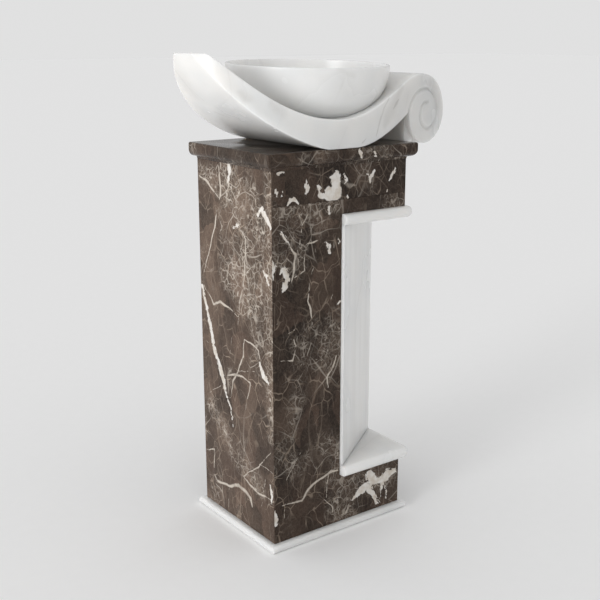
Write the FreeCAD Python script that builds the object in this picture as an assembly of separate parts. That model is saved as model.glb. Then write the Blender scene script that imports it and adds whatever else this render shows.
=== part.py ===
import FreeCAD, Part
import math
import os

# Pedestal wash basin in two marbles, in millimetres.
# Origin on the floor under the middle of the column, +X to the scroll, -Y to the front, +Z up.

# Column of dark slabs
COLUMN_WIDTH = 300.0
COLUMN_DEPTH = 240.0
COLUMN_HEIGHT = 685.0
SLAB = 20.0
HEADER_HEIGHT = 61.0

# Plinth slab under the column
PLINTH_THICKNESS = 14.0
PLINTH_PROUD = 12.0
nose_share = 0.45

# Moulded cap slab on the column
CAP_THICKNESS = 30.0
CAP_PROUD = 15.0
CAP_BACK_PROUD = 5.0
CAP_ARRIS = 3.5
CAP_OVOLO = 12.0
CAP_COVE = 4.0
CAP_FOOT = 0.5
CAP_STEP = 0.5

# Corner niche with its white lining
NICHE_WIDTH = 148.7
NICHE_FLOOR = 97.0
NICHE_CEILING = 598.0
NICHE_SLAB = 20.0
SHELF_PROUD = 18.0
SOFFIT_PROUD = 13.0
WALL_END_PROUD = 13.0
WALL_FRONT_PROUD = 7.0
NICHE_ANGLE = 35.7

# Basin saddle: side profile, heights above the seat
LIP_REACH = 245.0
LIP_WIDTH = 14.5
LIP_HEIGHT = 160.0
SEAT_LEFT = 38.0
SEAT_RIGHT = 20.0
RIBBON = 50.0
RIBBON_LOW_X = -15.5
CREST_X = 190.0
CREST_HEIGHT = 121.0
ROLL_LEFT = 156.0
ROLL_FOOT_X = 212.0
ROLL_RIGHT = 290.0
ROLL_WAIST = 48.0
ROLL_DROP = 7.0
NOTCH_RISE = 6.0
HEEL_RIGHT = 176.0
HEEL_INSET = 8.0
lip_run_share = 0.46
under_left_run_shares = (0.08, 0.78)
under_left_rise_share = 0.25
under_right_run_share = 0.365
rise_run_shares = (0.423, 0.746)

# Basin saddle: plan
PLAN_HALF_WIDTH = 134.0
PLAN_TIP = 248.2
PLAN_RIGHT_RADIUS = 625.0
plan_handle_shares = (0.54, 0.70)

# Carved spiral on the ends of the roll
GROOVE_WIDTH = 2.4
GROOVE_DEPTH = 2.0
EYE_X = 220.0
EYE_HEIGHT = 50.0
volute_radius_shares = (0.62, 0.58, 0.46, 0.38, 0.26)

# Bowl set in the saddle
BOWL_X = 10.4
BOWL_RADIUS = 148.0
BOWL_RIM = 5.0
RIM_HEIGHT = 140.0
RIM_FALL = 10.0
BOWL_DEPTH = 100.0
BOWL_FLOOR = 18.0
FOOT_CUT = 12.0
quarter_share = 0.5523
BOND = 0.3

# Waste set in the floor of the bowl
WASTE_HOLE = 46.0
CAP_HOLE = 72.0
FLANGE_DIAMETER = 64.0
FLANGE_THICKNESS = 3.0
FLANGE_SINK = 2.0
FLANGE_LEDGE = 50.0
LEDGE_DEPTH = 2.0
WASTE_OUTER = 42.0
WASTE_INNER = 36.0
WASTE_LENGTH = 92.0
SEAL = 1.5
GASKET = 3.0
NUT_DIAMETER = 60.0
NUT_HEIGHT = 10.0
HUB_DIAMETER = 18.0
HUB_HEIGHT = 12.0
HUB_DROP = 28.0
WEB = 3.0
WEB_COUNT = 3

# Pop-up plug
PLUG_DIAMETER = 49.0
PLUG_EDGE = 2.0
PLUG_CROWN = 2.5
PLUG_LIFT = 9.0
PLUG_SEAL_INNER = 37.0
PLUG_SEAL = 1.7
BOSS_DIAMETER = 12.0
BOSS_HEIGHT = 8.0
THREAD_DEPTH = 6.0
STEM_DIAMETER = 6.0
STEM_COLLAR = 8.6
STEM_COLLAR_HEIGHT = 2.0
BUSH_HEIGHT = 8.0
COLLAR_DIAMETER = 17.0
COLLAR_HEIGHT = 2.0
CARTRIDGE_DIAMETER = 12.0
CHAMBER_DIAMETER = 9.6
CHAMBER_DEPTH = 33.0
CARTRIDGE_FLOOR = 4.0
SPRING_WIRE = 0.8
SPRING_DIAMETER = 7.4
SPRING_TURNS = 5
RUNNING = 0.05
SEATING = 0.3

# Tail pipe, bottle trap and outlet
PIPE_DIAMETER = 32.0
PIPE_WALL = 1.2
PIPE_PLAY = 0.2
TAIL_COLLAR = 5.0
TAIL_LENGTH = 180.0
NUT_WALL = 4.0
NUT_ROOF = 3.0
NUT_GRIP = 13.0
TRAP_DIAMETER = 64.0
TRAP_WALL = 3.0
TRAP_NECK = 44.0
TRAP_NECK_HEIGHT = 25.0
TRAP_HEAD_HEIGHT = 70.0
TRAP_DROP = 70.0
CUP_HEIGHT = 95.0
CUP_OVERLAP = 15.0
OUTLET_DROP = 27.0
STUB_DIAMETER = 42.0
STUB_LENGTH = 22.0
OUTLET_PROUD = 45.0
PIPE_BEAD = 0.8
PIPE_BEAD_WIDTH = 2.0
OUTLET_GRIP = 10.0

# Service opening in the back
SERVICE_WIDTH = 130.0
SERVICE_HEIGHT = 180.0
SERVICE_CORNER = 10.0
COVER_LAP = 14.0
COVER_THICKNESS = 2.0
SCREW_DIAMETER = 4.0
SCREW_HEAD = 8.0
SCREW_HEAD_HEIGHT = 2.4
SCREW_LENGTH = 14.0
ROSETTE_DIAMETER = 66.0
ROSETTE_THICKNESS = 5.0

# Steel carcass inside the slabs
BAR = 20.0
batten_shares = (0.33, 0.64)
STUD_DIAMETER = 8.0
STUD_INSET = 40.0
STUD_EMBED = 15.0
STUD_NUT_DIAMETER = 15.0
STUD_NUT_HEIGHT = 6.5
DOWEL_DIAMETER = 12.0
DOWEL_EMBED = 20.0
DOWEL_SPREAD = 110.0
PLAY = 0.1
OVERRUN = 5.0

# Middle of the basin: over the middle of the cap
BASIN_Y = (CAP_BACK_PROUD - CAP_PROUD) / 2

# Levels, from the floor up
HALF_W = COLUMN_WIDTH / 2
HALF_D = COLUMN_DEPTH / 2
COLUMN_FOOT = PLINTH_THICKNESS
COLUMN_TOP = COLUMN_FOOT + COLUMN_HEIGHT
HEADER_FOOT = COLUMN_TOP - HEADER_HEIGHT
SEAT = COLUMN_TOP + CAP_THICKNESS
SHELF_FOOT = COLUMN_FOOT + NICHE_FLOOR
SHELF_TOP = SHELF_FOOT + NICHE_SLAB
SOFFIT_TOP = COLUMN_FOOT + NICHE_CEILING
SOFFIT_FOOT = SOFFIT_TOP - NICHE_SLAB
RIM = SEAT + RIM_HEIGHT
DRAIN = RIM - BOWL_DEPTH
SOCKET = DRAIN - BOWL_FLOOR
BOWL_OUTER_DEPTH = BOWL_DEPTH + BOWL_FLOOR + FOOT_CUT

# Waste levels, from the drain down
FLANGE_TOP = DRAIN - FLANGE_SINK + SEAL + FLANGE_THICKNESS
FLANGE_FOOT = FLANGE_TOP - FLANGE_THICKNESS
RECESS = FLANGE_FOOT - SEAL
LEDGE = FLANGE_TOP - LEDGE_DEPTH
WASTE_FOOT = FLANGE_TOP - WASTE_LENGTH
HUB_TOP = FLANGE_TOP - HUB_DROP
PLUG_FOOT = LEDGE + SEATING + PLUG_SEAL
CHAMBER_FOOT = HUB_TOP + COLLAR_HEIGHT - CHAMBER_DEPTH
BUSH_TOP = HUB_TOP + COLLAR_HEIGHT
STEM_COLLAR_TOP = BUSH_TOP - BUSH_HEIGHT - PLUG_LIFT - SEATING
STEM_FOOT = STEM_COLLAR_TOP - STEM_COLLAR_HEIGHT
TAIL_TOP = WASTE_FOOT - GASKET
TAIL_FOOT = TAIL_TOP - TAIL_LENGTH
NECK_TOP = TAIL_TOP - TRAP_DROP
HEAD_TOP = NECK_TOP - TRAP_NECK_HEIGHT
HEAD_FOOT = HEAD_TOP - TRAP_HEAD_HEIGHT
OUTLET = HEAD_TOP - OUTLET_DROP
STUB_END = BASIN_Y + TRAP_DIAMETER / 2 + STUB_LENGTH

# Plan of the niche lining
NICHE_X = HALF_W - NICHE_WIDTH
NICHE_SLOPE = math.tan(math.radians(NICHE_ANGLE))
WALL_FRONT = -HALF_D - WALL_FRONT_PROUD
WALL_BACK = WALL_FRONT + NICHE_SLAB / math.cos(math.radians(NICHE_ANGLE))


def vec(x, y, z):
    return FreeCAD.Vector(x, y, z)


X_AXIS = vec(1, 0, 0)
Y_AXIS = vec(0, 1, 0)
Z_AXIS = vec(0, 0, 1)
FULL_TURN = 360


def block(x0, x1, y0, y1, z0, z1):
    return Part.makeBox(x1 - x0, y1 - y0, z1 - z0, vec(x0, y0, z0))


def rod(diameter, z0, z1, x=BOWL_X, y=BASIN_Y):
    return Part.makeCylinder(diameter / 2, z1 - z0, vec(x, y, z0))


def sleeve(outer, inner, z0, z1, x=BOWL_X, y=BASIN_Y):
    return rod(outer, z0, z1, x, y).cut(rod(inner, z0 - OVERRUN, z1 + OVERRUN, x, y))


def rod_y(diameter, y0, y1, x=BOWL_X, z=OUTLET):
    return Part.makeCylinder(diameter / 2, y1 - y0, vec(x, y0, z), Y_AXIS)


def sleeve_y(outer, inner, y0, y1, x=BOWL_X, z=OUTLET):
    return rod_y(outer, y0, y1, x, z).cut(rod_y(inner, y0 - OVERRUN, y1 + OVERRUN, x, z))


def prism(outline, z0, z1):
    """Upright solid over a plan given as (x, y) corners."""
    corners = [vec(x, y, z0) for x, y in outline]
    face = Part.Face(Part.makePolygon(corners + corners[:1]))
    return face.extrude(Z_AXIS * (z1 - z0))


def line(a, b):
    return Part.makeLine(a, b)


def arc(a, middle, b):
    return Part.Arc(a, middle, b).toShape()


def bezier(*poles):
    curve = Part.BezierCurve()
    curve.setPoles(list(poles))
    return curve.toShape()


def quarter(start, corner, end):
    """Quarter of an ellipse between two points; the corner is where its end tangents meet."""
    leaving = start + (corner - start) * quarter_share
    arriving = end + (corner - end) * quarter_share
    return bezier(start, leaving, arriving, end)


def moulded_slab(half_x, half_y, half_section):
    """Slab whose edge moulding runs round all four sides and mitres at the corners."""
    along_y = half_section(half_x, lambda s, z: vec(s, -half_y - OVERRUN, z))
    along_x = half_section(half_y, lambda s, z: vec(-half_x - OVERRUN, s, z))
    first = Part.Face(along_y).extrude(Y_AXIS * 2 * (half_y + OVERRUN))
    second = Part.Face(along_x).extrude(X_AXIS * 2 * (half_x + OVERRUN))
    return first.common(second)


def plinth_section(half, place):
    """Closed section of the plinth: both edges rounded almost to a half circle."""
    nose = nose_share * PLINTH_THICKNESS
    bend = nose * (1 - math.sqrt(0.5))
    top = PLINTH_THICKNESS
    edges = []
    for side in (1, -1):
        points = [
            place(side * (half - nose), 0.0),
            place(side * (half - bend), bend),
            place(side * half, nose),
            place(side * half, top - nose),
            place(side * (half - bend), top - bend),
            place(side * (half - nose), top),
        ]
        edges.append(arc(*points[:3]))
        edges.append(line(points[2], points[3]))
        edges.append(arc(*points[3:]))
    inner = half - nose
    edges.append(line(place(-inner, 0.0), place(inner, 0.0)))
    edges.append(line(place(-inner, top), place(inner, top)))
    return Part.Wire(Part.__sortEdges__(edges))


def cap_section(half, place):
    """Closed section of the cap: eased arris, upright face, ovolo, then a small cove."""
    root_half = math.sqrt(0.5)
    foot = half - CAP_PROUD + CAP_STEP
    waist = half - CAP_OVOLO
    top = SEAT
    bend = CAP_ARRIS * (1 - root_half)
    turn = CAP_OVOLO * (1 - root_half)
    cove_foot = COLUMN_TOP + CAP_FOOT
    ovolo_foot = cove_foot + CAP_COVE
    face_foot = ovolo_foot + CAP_OVOLO
    face_top = top - CAP_ARRIS
    edges = []
    for side in (1, -1):
        top_in = place(side * (half - CAP_ARRIS), top)
        face_high = place(side * half, face_top)
        face_low = place(side * half, face_foot)
        ovolo_end = place(side * waist, ovolo_foot)
        cove_end = place(side * foot, cove_foot)
        foot_end = place(side * foot, COLUMN_TOP)
        edges.append(arc(top_in, place(side * (half - bend), top - bend), face_high))
        edges.append(line(face_high, face_low))
        edges.append(arc(face_low, place(side * (half - turn), ovolo_foot + turn), ovolo_end))
        edges.append(bezier(ovolo_end, place(side * foot, ovolo_foot), cove_end))
        edges.append(line(cove_end, foot_end))
    edges.append(line(place(-(half - CAP_ARRIS), top), place(half - CAP_ARRIS, top)))
    edges.append(line(place(-foot, COLUMN_TOP), place(foot, COLUMN_TOP)))
    return Part.Wire(Part.__sortEdges__(edges))


def plinth_slab():
    half_x = HALF_W + PLINTH_PROUD
    half_y = HALF_D + PLINTH_PROUD
    return moulded_slab(half_x, half_y, plinth_section)


def stud_places():
    inset_x = HALF_W - SLAB - BAR / 2
    inset_y = HALF_D - SLAB - BAR / 2
    spread = inset_x - STUD_INSET
    return [(sx * spread, sy * inset_y) for sx in (-1, 1) for sy in (-1, 1)]


def dowel_places():
    x = (SEAT_RIGHT - SEAT_LEFT) / 2
    return [(x, BASIN_Y + side * DOWEL_SPREAD) for side in (-1, 1)]


def cap_slab():
    """Moulded on three sides and sawn flat at the back, where it stands to a wall."""
    half_x = HALF_W + CAP_PROUD
    half_y = HALF_D + CAP_PROUD
    slab = moulded_slab(half_x, half_y, cap_section)
    back = HALF_D + CAP_BACK_PROUD
    slab = slab.cut(block(-half_x, half_x, back, half_y, COLUMN_TOP, SEAT))
    slab = slab.cut(rod(CAP_HOLE, COLUMN_TOP - OVERRUN, SEAT + OVERRUN))
    hole = STUD_DIAMETER + 2 * PLAY
    for x, y in stud_places():
        slab = slab.cut(rod(hole, COLUMN_TOP - OVERRUN, COLUMN_TOP + STUD_EMBED, x, y))
    for x, y in dowel_places():
        slab = slab.cut(rod(DOWEL_DIAMETER + 2 * PLAY, SEAT - DOWEL_EMBED, SEAT + OVERRUN, x, y))
    return slab


def wall_back(x):
    return WALL_BACK + (x - NICHE_X) * NICHE_SLOPE


def wall_front(x):
    return WALL_FRONT + (x - NICHE_X) * NICHE_SLOPE


def niche_space():
    """All the room in front of the back of the niche lining, past the faces of the column."""
    reach = max(SHELF_PROUD, SOFFIT_PROUD, WALL_END_PROUD) + OVERRUN
    far_x = HALF_W + reach
    far_y = -HALF_D - reach
    outline = [(NICHE_X, far_y), (far_x, far_y), (far_x, wall_back(far_x)), (NICHE_X, WALL_BACK)]
    return prism(outline, SHELF_FOOT, SOFFIT_TOP)


def front_plan():
    inner_x = HALF_W - SLAB
    inner_y = -HALF_D + SLAB
    return [(-HALF_W, -HALF_D), (HALF_W, -HALF_D), (inner_x, inner_y), (-inner_x, inner_y)]


def side_plan(side):
    inner_x = side * (HALF_W - SLAB)
    inner_y = HALF_D - SLAB
    return [(side * HALF_W, -HALF_D), (side * HALF_W, HALF_D), (inner_x, inner_y), (inner_x, -inner_y)]


def left_panel():
    return prism(side_plan(-1), COLUMN_FOOT, COLUMN_TOP)


def right_panel():
    return prism(side_plan(1), COLUMN_FOOT, COLUMN_TOP).cut(niche_space())


def front_panel():
    panel = prism(front_plan(), COLUMN_FOOT, HEADER_FOOT)
    notch = block(NICHE_X, HALF_W + OVERRUN, -HALF_D - OVERRUN, HALF_D, SHELF_FOOT, SOFFIT_TOP)
    return panel.cut(notch)


def front_header_panel():
    return prism(front_plan(), HEADER_FOOT, COLUMN_TOP)


def service_block(grow, y0, y1):
    half_w = SERVICE_WIDTH / 2 + grow
    half_h = SERVICE_HEIGHT / 2 + grow
    shape = block(BOWL_X - half_w, BOWL_X + half_w, y0, y1, OUTLET - half_h, OUTLET + half_h)
    corners = [e for e in shape.Edges if e.BoundBox.YLength > PLAY]
    return shape.makeFillet(SERVICE_CORNER, corners)


def screw_places():
    half_w = SERVICE_WIDTH / 2 + COVER_LAP / 2
    half_h = SERVICE_HEIGHT / 2 + COVER_LAP / 2
    inset = SERVICE_CORNER
    return [(BOWL_X + sx * half_w, OUTLET + sz * (half_h - inset)) for sx in (-1, 1) for sz in (-1, 1)]


def back_panel():
    plan = [(x, -y) for x, y in front_plan()]
    panel = prism(plan, COLUMN_FOOT, COLUMN_TOP)
    panel = panel.cut(service_block(0.0, HALF_D - SLAB - OVERRUN, HALF_D + OVERRUN))
    for x, z in screw_places():
        panel = panel.cut(rod_y(SCREW_DIAMETER + 2 * PLAY, HALF_D - SCREW_LENGTH, HALF_D + OVERRUN, x, z))
    return panel


def service_cover():
    cover = service_block(COVER_LAP, HALF_D, HALF_D + COVER_THICKNESS)
    cover = cover.cut(rod_y(PIPE_DIAMETER + 2 * PIPE_PLAY, HALF_D - OVERRUN, HALF_D + OVERRUN))
    for x, z in screw_places():
        hole = rod_y(SCREW_DIAMETER + 2 * PLAY, HALF_D - OVERRUN, HALF_D + OVERRUN, x, z)
        cover = cover.cut(hole)
    return cover


def cover_screws():
    face = HALF_D + COVER_THICKNESS
    screws = []
    for x, z in screw_places():
        shank = rod_y(SCREW_DIAMETER, HALF_D - SCREW_LENGTH, face, x, z)
        head = rod_y(SCREW_HEAD, face, face + SCREW_HEAD_HEIGHT, x, z)
        screws.append(shank.fuse(head).removeSplitter())
    return Part.makeCompound(screws)


def niche_back_slab():
    end = HALF_W + WALL_END_PROUD
    outline = [(NICHE_X, WALL_FRONT), (end, wall_front(end)), (end, wall_back(end)), (NICHE_X, WALL_BACK)]
    return prism(outline, SHELF_TOP, SOFFIT_FOOT)


def niche_plate(z0, z1, proud):
    """Triangular slab with a rounded nose along the front, the corner and the right side."""
    right = HALF_W + proud
    front = -HALF_D - proud
    outline = [(NICHE_X, front), (right, front), (right, wall_back(right)), (NICHE_X, WALL_BACK)]
    plate = prism(outline, z0, z1)
    corner = [e for e in plate.Edges if all(near(v.Point, right, front) for v in e.Vertexes)]
    plate = plate.makeFillet(proud, corner)
    rim = [e for e in plate.Edges if on_nose(e, proud)]
    return plate.makeFillet(nose_share * (z1 - z0), rim)


def near(point, x, y):
    return math.hypot(point.x - x, point.y - y) < PLAY


def on_nose(edge, proud):
    """True for the level edges along the front, the rounded corner and the right side."""
    level = abs(edge.BoundBox.ZLength) < PLAY
    middle = edge.valueAt((edge.FirstParameter + edge.LastParameter) / 2)
    by_front = middle.y < -HALF_D - PLAY and middle.x > NICHE_X + PLAY
    by_right = middle.x > HALF_W + PLAY and middle.y < wall_front(HALF_W + proud)
    return level and (by_front or by_right)


def niche_shelf_slab():
    return niche_plate(SHELF_FOOT, SHELF_TOP, SHELF_PROUD)


def niche_soffit_slab():
    return niche_plate(SOFFIT_FOOT, SOFFIT_TOP, SOFFIT_PROUD)


def scroll_plan(inset):
    """Plan of the saddle: a full curve round the lip, two flat arcs to the roll."""
    half = PLAN_HALF_WIDTH - inset
    tip = PLAN_TIP - inset
    radius = PLAN_RIGHT_RADIUS - inset
    end = ROLL_RIGHT + OVERRUN
    below = ROLL_DROP + OVERRUN
    along_share, across_share = plan_handle_shares
    edges = []

    def at(x, y):
        return vec(x, BASIN_Y + y, SEAT - below)

    def arc_point(x, side):
        return at(x, side * (half - radius + math.sqrt(radius ** 2 - x ** 2)))

    for side in (-1, 1):
        across = side * half
        edges.append(bezier(
            at(0.0, across),
            at(-along_share * tip, across),
            at(-tip, across_share * across),
            at(-tip, 0.0),
        ))
        edges.append(arc(at(0.0, across), arc_point(end / 2, side), arc_point(end, side)))
    edges.append(line(arc_point(end, -1), arc_point(end, 1)))
    wire = Part.Wire(Part.__sortEdges__(edges))
    return Part.Face(wire).extrude(Z_AXIS * (LIP_HEIGHT + below + OVERRUN))


def scroll_profile():
    """Side profile of the saddle, drawn on the plane in front of the basin."""
    y = BASIN_Y - PLAN_HALF_WIDTH - OVERRUN

    def at(x, height):
        return vec(x, y, SEAT + height)

    low = RIBBON_LOW_X
    lip_inner = LIP_WIDTH - LIP_REACH
    notch = ROLL_WAIST + NOTCH_RISE
    run_left = SEAT_LEFT - LIP_REACH
    run_right = ROLL_LEFT - SEAT_RIGHT
    run_rise = CREST_X - low
    near_run, far_run = under_left_run_shares
    rise_start, rise_end = rise_run_shares
    edges = [
        line(at(-LIP_REACH, LIP_HEIGHT), at(lip_inner, LIP_HEIGHT)),
        bezier(
            at(lip_inner, LIP_HEIGHT),
            at(lip_inner + lip_run_share * (low - lip_inner), RIBBON),
            at(low, RIBBON),
        ),
        bezier(
            at(low, RIBBON),
            at(low + rise_start * run_rise, RIBBON),
            at(low + rise_end * run_rise, CREST_HEIGHT),
            at(CREST_X, CREST_HEIGHT),
        ),
        quarter(at(CREST_X, CREST_HEIGHT), at(ROLL_RIGHT, CREST_HEIGHT), at(ROLL_RIGHT, ROLL_WAIST)),
        quarter(at(ROLL_RIGHT, ROLL_WAIST), at(ROLL_RIGHT, -ROLL_DROP), at(ROLL_FOOT_X, -ROLL_DROP)),
        quarter(at(ROLL_FOOT_X, -ROLL_DROP), at(ROLL_LEFT, -ROLL_DROP), at(ROLL_LEFT, ROLL_WAIST)),
        line(at(ROLL_LEFT, ROLL_WAIST), at(ROLL_LEFT, notch)),
        bezier(
            at(ROLL_LEFT, notch),
            at(SEAT_RIGHT + under_right_run_share * run_right, 0.0),
            at(SEAT_RIGHT, 0.0),
        ),
        line(at(SEAT_RIGHT, 0.0), at(-SEAT_LEFT, 0.0)),
        bezier(
            at(-SEAT_LEFT, 0.0),
            at(-SEAT_LEFT + near_run * run_left, 0.0),
            at(-SEAT_LEFT + far_run * run_left, under_left_rise_share * LIP_HEIGHT),
            at(-LIP_REACH, LIP_HEIGHT),
        ),
    ]
    return Part.Face(Part.Wire(edges)).extrude(Y_AXIS * 2 * (PLAN_HALF_WIDTH + OVERRUN))


def volute_edge(offset):
    """Spiral that comes in from the open notch beside the roll, then one radius for each quarter turn."""
    entry = 2 * GROOVE_WIDTH
    out = EYE_X - ROLL_LEFT
    rise = ROLL_WAIST + NOTCH_RISE - EYE_HEIGHT
    half_roll = (ROLL_RIGHT - ROLL_LEFT) / 2
    turns = []
    for across, up in ((out + entry / 2, rise - entry), (out, rise)):
        turns.append((math.pi - math.atan2(up, across), math.hypot(across, up)))
    for step, share in enumerate(volute_radius_shares):
        turns.append((math.pi / 2 * (1 - step), share * half_roll))
    points = []
    for angle, radius in turns:
        x = EYE_X + (radius + offset) * math.cos(angle)
        z = SEAT + EYE_HEIGHT + (radius + offset) * math.sin(angle)
        points.append(vec(x, BASIN_Y - PLAN_HALF_WIDTH - OVERRUN, z))
    curve = Part.BSplineCurve()
    curve.interpolate(points)
    return curve.toShape(), points


def volute_groove():
    """Spiral groove as deep as the named depth on both ends of the roll."""
    outer, outer_points = volute_edge(GROOVE_WIDTH / 2)
    inner, inner_points = volute_edge(-GROOVE_WIDTH / 2)
    start = line(outer_points[0], inner_points[0])
    end = line(outer_points[-1], inner_points[-1])
    wire = Part.Wire(Part.__sortEdges__([outer, start, inner, end]))
    strip = Part.Face(wire).extrude(Y_AXIS * 2 * (PLAN_HALF_WIDTH + OVERRUN))
    return strip.cut(scroll_plan(GROOVE_DEPTH))


def roll_heel():
    """Flat foot under the roll, set back from its two ends, that stands on the cap."""
    side = PLAN_HALF_WIDTH
    fill = block(ROLL_LEFT, HEEL_RIGHT, BASIN_Y - side, BASIN_Y + side, SEAT, SEAT + ROLL_WAIST)
    return fill.common(scroll_plan(HEEL_INSET))


def basin_scroll():
    body = scroll_profile().common(scroll_plan(0.0))
    body = body.fuse(roll_heel()).removeSplitter()
    body = body.cut(volute_groove())
    body = body.cut(bowl_body(BOND))
    body = body.cut(rod(WASTE_HOLE, SEAT - OVERRUN, SOCKET + OVERRUN))
    for x, y in dowel_places():
        body = body.cut(rod(DOWEL_DIAMETER + 2 * PLAY, SEAT - OVERRUN, SEAT + DOWEL_EMBED, x, y))
    return body


def cup(radius, depth, top):
    """Round cup: a quarter ellipse turned about the drain, with an upright wall above the rim."""

    def at(r, z):
        return vec(BOWL_X + r, BASIN_Y, z)

    edges = [
        line(at(0.0, top), at(radius, top)),
        line(at(radius, top), at(radius, RIM)),
        quarter(at(radius, RIM), at(radius, RIM - depth), at(0.0, RIM - depth)),
        line(at(0.0, RIM - depth), at(0.0, top)),
    ]
    return Part.Face(Part.Wire(edges)).revolve(at(0.0, RIM), Z_AXIS, FULL_TURN)


def bowl_body(grow):
    """The bowl as a solid, standing on the flat floor of its socket."""
    body = cup(BOWL_RADIUS + grow, BOWL_OUTER_DEPTH, RIM + RIM_FALL)
    below = rod(2 * BOWL_RADIUS + OVERRUN, RIM - BOWL_OUTER_DEPTH - OVERRUN, SOCKET)
    return body.cut(below)


def basin_bowl():
    bowl = bowl_body(0.0)
    bowl = bowl.cut(cup(BOWL_RADIUS - BOWL_RIM, BOWL_DEPTH, RIM + RIM_FALL + OVERRUN))
    above = rod(2 * BOWL_RADIUS + RIM_FALL, RIM, RIM + 2 * RIM_FALL)
    fall = math.degrees(math.atan2(RIM_FALL, 2 * BOWL_RADIUS))
    above.rotate(vec(BOWL_X, BASIN_Y, RIM), X_AXIS, fall)
    bowl = bowl.cut(above)
    bowl = bowl.cut(rod(FLANGE_DIAMETER + 2 * BOND, RECESS, DRAIN + OVERRUN))
    return bowl.cut(rod(WASTE_HOLE, SOCKET - OVERRUN, DRAIN))


def waste_body():
    body = rod(FLANGE_DIAMETER, FLANGE_FOOT, FLANGE_TOP)
    body = body.fuse(rod(WASTE_OUTER, WASTE_FOOT, FLANGE_TOP))
    body = body.cut(rod(WASTE_INNER, WASTE_FOOT - OVERRUN, FLANGE_TOP + OVERRUN))
    body = body.cut(rod(FLANGE_LEDGE, LEDGE, FLANGE_TOP + OVERRUN))
    hub_foot = HUB_TOP - HUB_HEIGHT
    body = body.fuse(rod(HUB_DIAMETER, hub_foot, HUB_TOP))
    reach = (WASTE_INNER + WASTE_OUTER) / 4
    for web in range(WEB_COUNT):
        arm = block(BOWL_X, BOWL_X + reach, BASIN_Y - WEB / 2, BASIN_Y + WEB / 2, hub_foot, HUB_TOP)
        arm.rotate(vec(BOWL_X, BASIN_Y, 0), Z_AXIS, FULL_TURN / WEB_COUNT * web)
        body = body.fuse(arm)
    bore = rod(CARTRIDGE_DIAMETER + 2 * RUNNING, hub_foot - OVERRUN, HUB_TOP + OVERRUN)
    return body.cut(bore).removeSplitter()


def waste_seal():
    return sleeve(FLANGE_DIAMETER, WASTE_HOLE, RECESS, FLANGE_FOOT)


def lower_gasket():
    return sleeve(NUT_DIAMETER, WASTE_OUTER + 2 * PLAY, SEAT - GASKET, SEAT)


def hexagon(across_corners, z0, z1, x, y):
    radius = across_corners / 2
    turn = math.pi / 3
    outline = [(x + radius * math.cos(turn * i), y + radius * math.sin(turn * i)) for i in range(6)]
    return prism(outline, z0, z1)


def back_nut():
    top = SEAT - GASKET
    foot = top - NUT_HEIGHT
    nut = hexagon(NUT_DIAMETER, foot, top, BOWL_X, BASIN_Y)
    return nut.cut(rod(WASTE_OUTER + 2 * PLAY, foot - OVERRUN, SEAT))


def plug_cap():
    """Crowned disc with a threaded boss under it."""
    radius = PLUG_DIAMETER / 2
    edge = PLUG_FOOT + PLUG_EDGE
    crown = edge + PLUG_CROWN

    def at(r, z):
        return vec(BOWL_X + r, BASIN_Y, z)

    edges = [
        line(at(0.0, PLUG_FOOT), at(radius, PLUG_FOOT)),
        line(at(radius, PLUG_FOOT), at(radius, edge)),
        bezier(at(radius, edge), at(radius / 2, crown), at(0.0, crown)),
        line(at(0.0, crown), at(0.0, PLUG_FOOT)),
    ]
    cap = Part.Face(Part.Wire(edges)).revolve(at(0.0, edge), Z_AXIS, FULL_TURN)
    boss_foot = PLUG_FOOT - BOSS_HEIGHT
    cap = cap.fuse(rod(BOSS_DIAMETER, boss_foot, PLUG_FOOT))
    thread = rod(STEM_DIAMETER + 2 * RUNNING, boss_foot - OVERRUN, boss_foot + THREAD_DEPTH)
    return cap.cut(thread).removeSplitter()


def plug_seal():
    return sleeve(PLUG_DIAMETER, PLUG_SEAL_INNER, LEDGE + SEATING, PLUG_FOOT)


def plug_stem():
    stem = rod(STEM_DIAMETER, STEM_FOOT, PLUG_FOOT - BOSS_HEIGHT + THREAD_DEPTH)
    return stem.fuse(rod(STEM_COLLAR, STEM_FOOT, STEM_COLLAR_TOP)).removeSplitter()


def stem_bush():
    bush = rod(CHAMBER_DIAMETER - 2 * RUNNING, BUSH_TOP - BUSH_HEIGHT, BUSH_TOP)
    bush = bush.fuse(rod(COLLAR_DIAMETER, BUSH_TOP, BUSH_TOP + COLLAR_HEIGHT))
    bore = rod(STEM_DIAMETER + 2 * RUNNING, BUSH_TOP - BUSH_HEIGHT - OVERRUN, BUSH_TOP + OVERRUN)
    return bush.cut(bore).removeSplitter()


def click_cartridge():
    body = rod(CARTRIDGE_DIAMETER, CHAMBER_FOOT - CARTRIDGE_FLOOR, BUSH_TOP)
    body = body.fuse(rod(COLLAR_DIAMETER, HUB_TOP, BUSH_TOP))
    return body.cut(rod(CHAMBER_DIAMETER, CHAMBER_FOOT, BUSH_TOP + OVERRUN)).removeSplitter()


def plug_spring():
    """Wire coil between the floor of the cartridge and the collar of the stem."""
    foot = CHAMBER_FOOT + SPRING_WIRE / 2 + PLAY
    top = STEM_FOOT - SPRING_WIRE / 2 - PLAY
    radius = SPRING_DIAMETER / 2
    coil = Part.makeHelix((top - foot) / SPRING_TURNS, top - foot, radius)
    section = Part.Wire(Part.makeCircle(SPRING_WIRE / 2, vec(radius, 0, 0), Y_AXIS))
    wire = Part.Wire(coil.Edges).makePipeShell([section], True, True)
    wire.translate(vec(BOWL_X, BASIN_Y, foot))
    return wire


def tail_washer():
    return sleeve(WASTE_OUTER, PIPE_DIAMETER - 2 * PIPE_WALL, TAIL_TOP, WASTE_FOOT)


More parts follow.
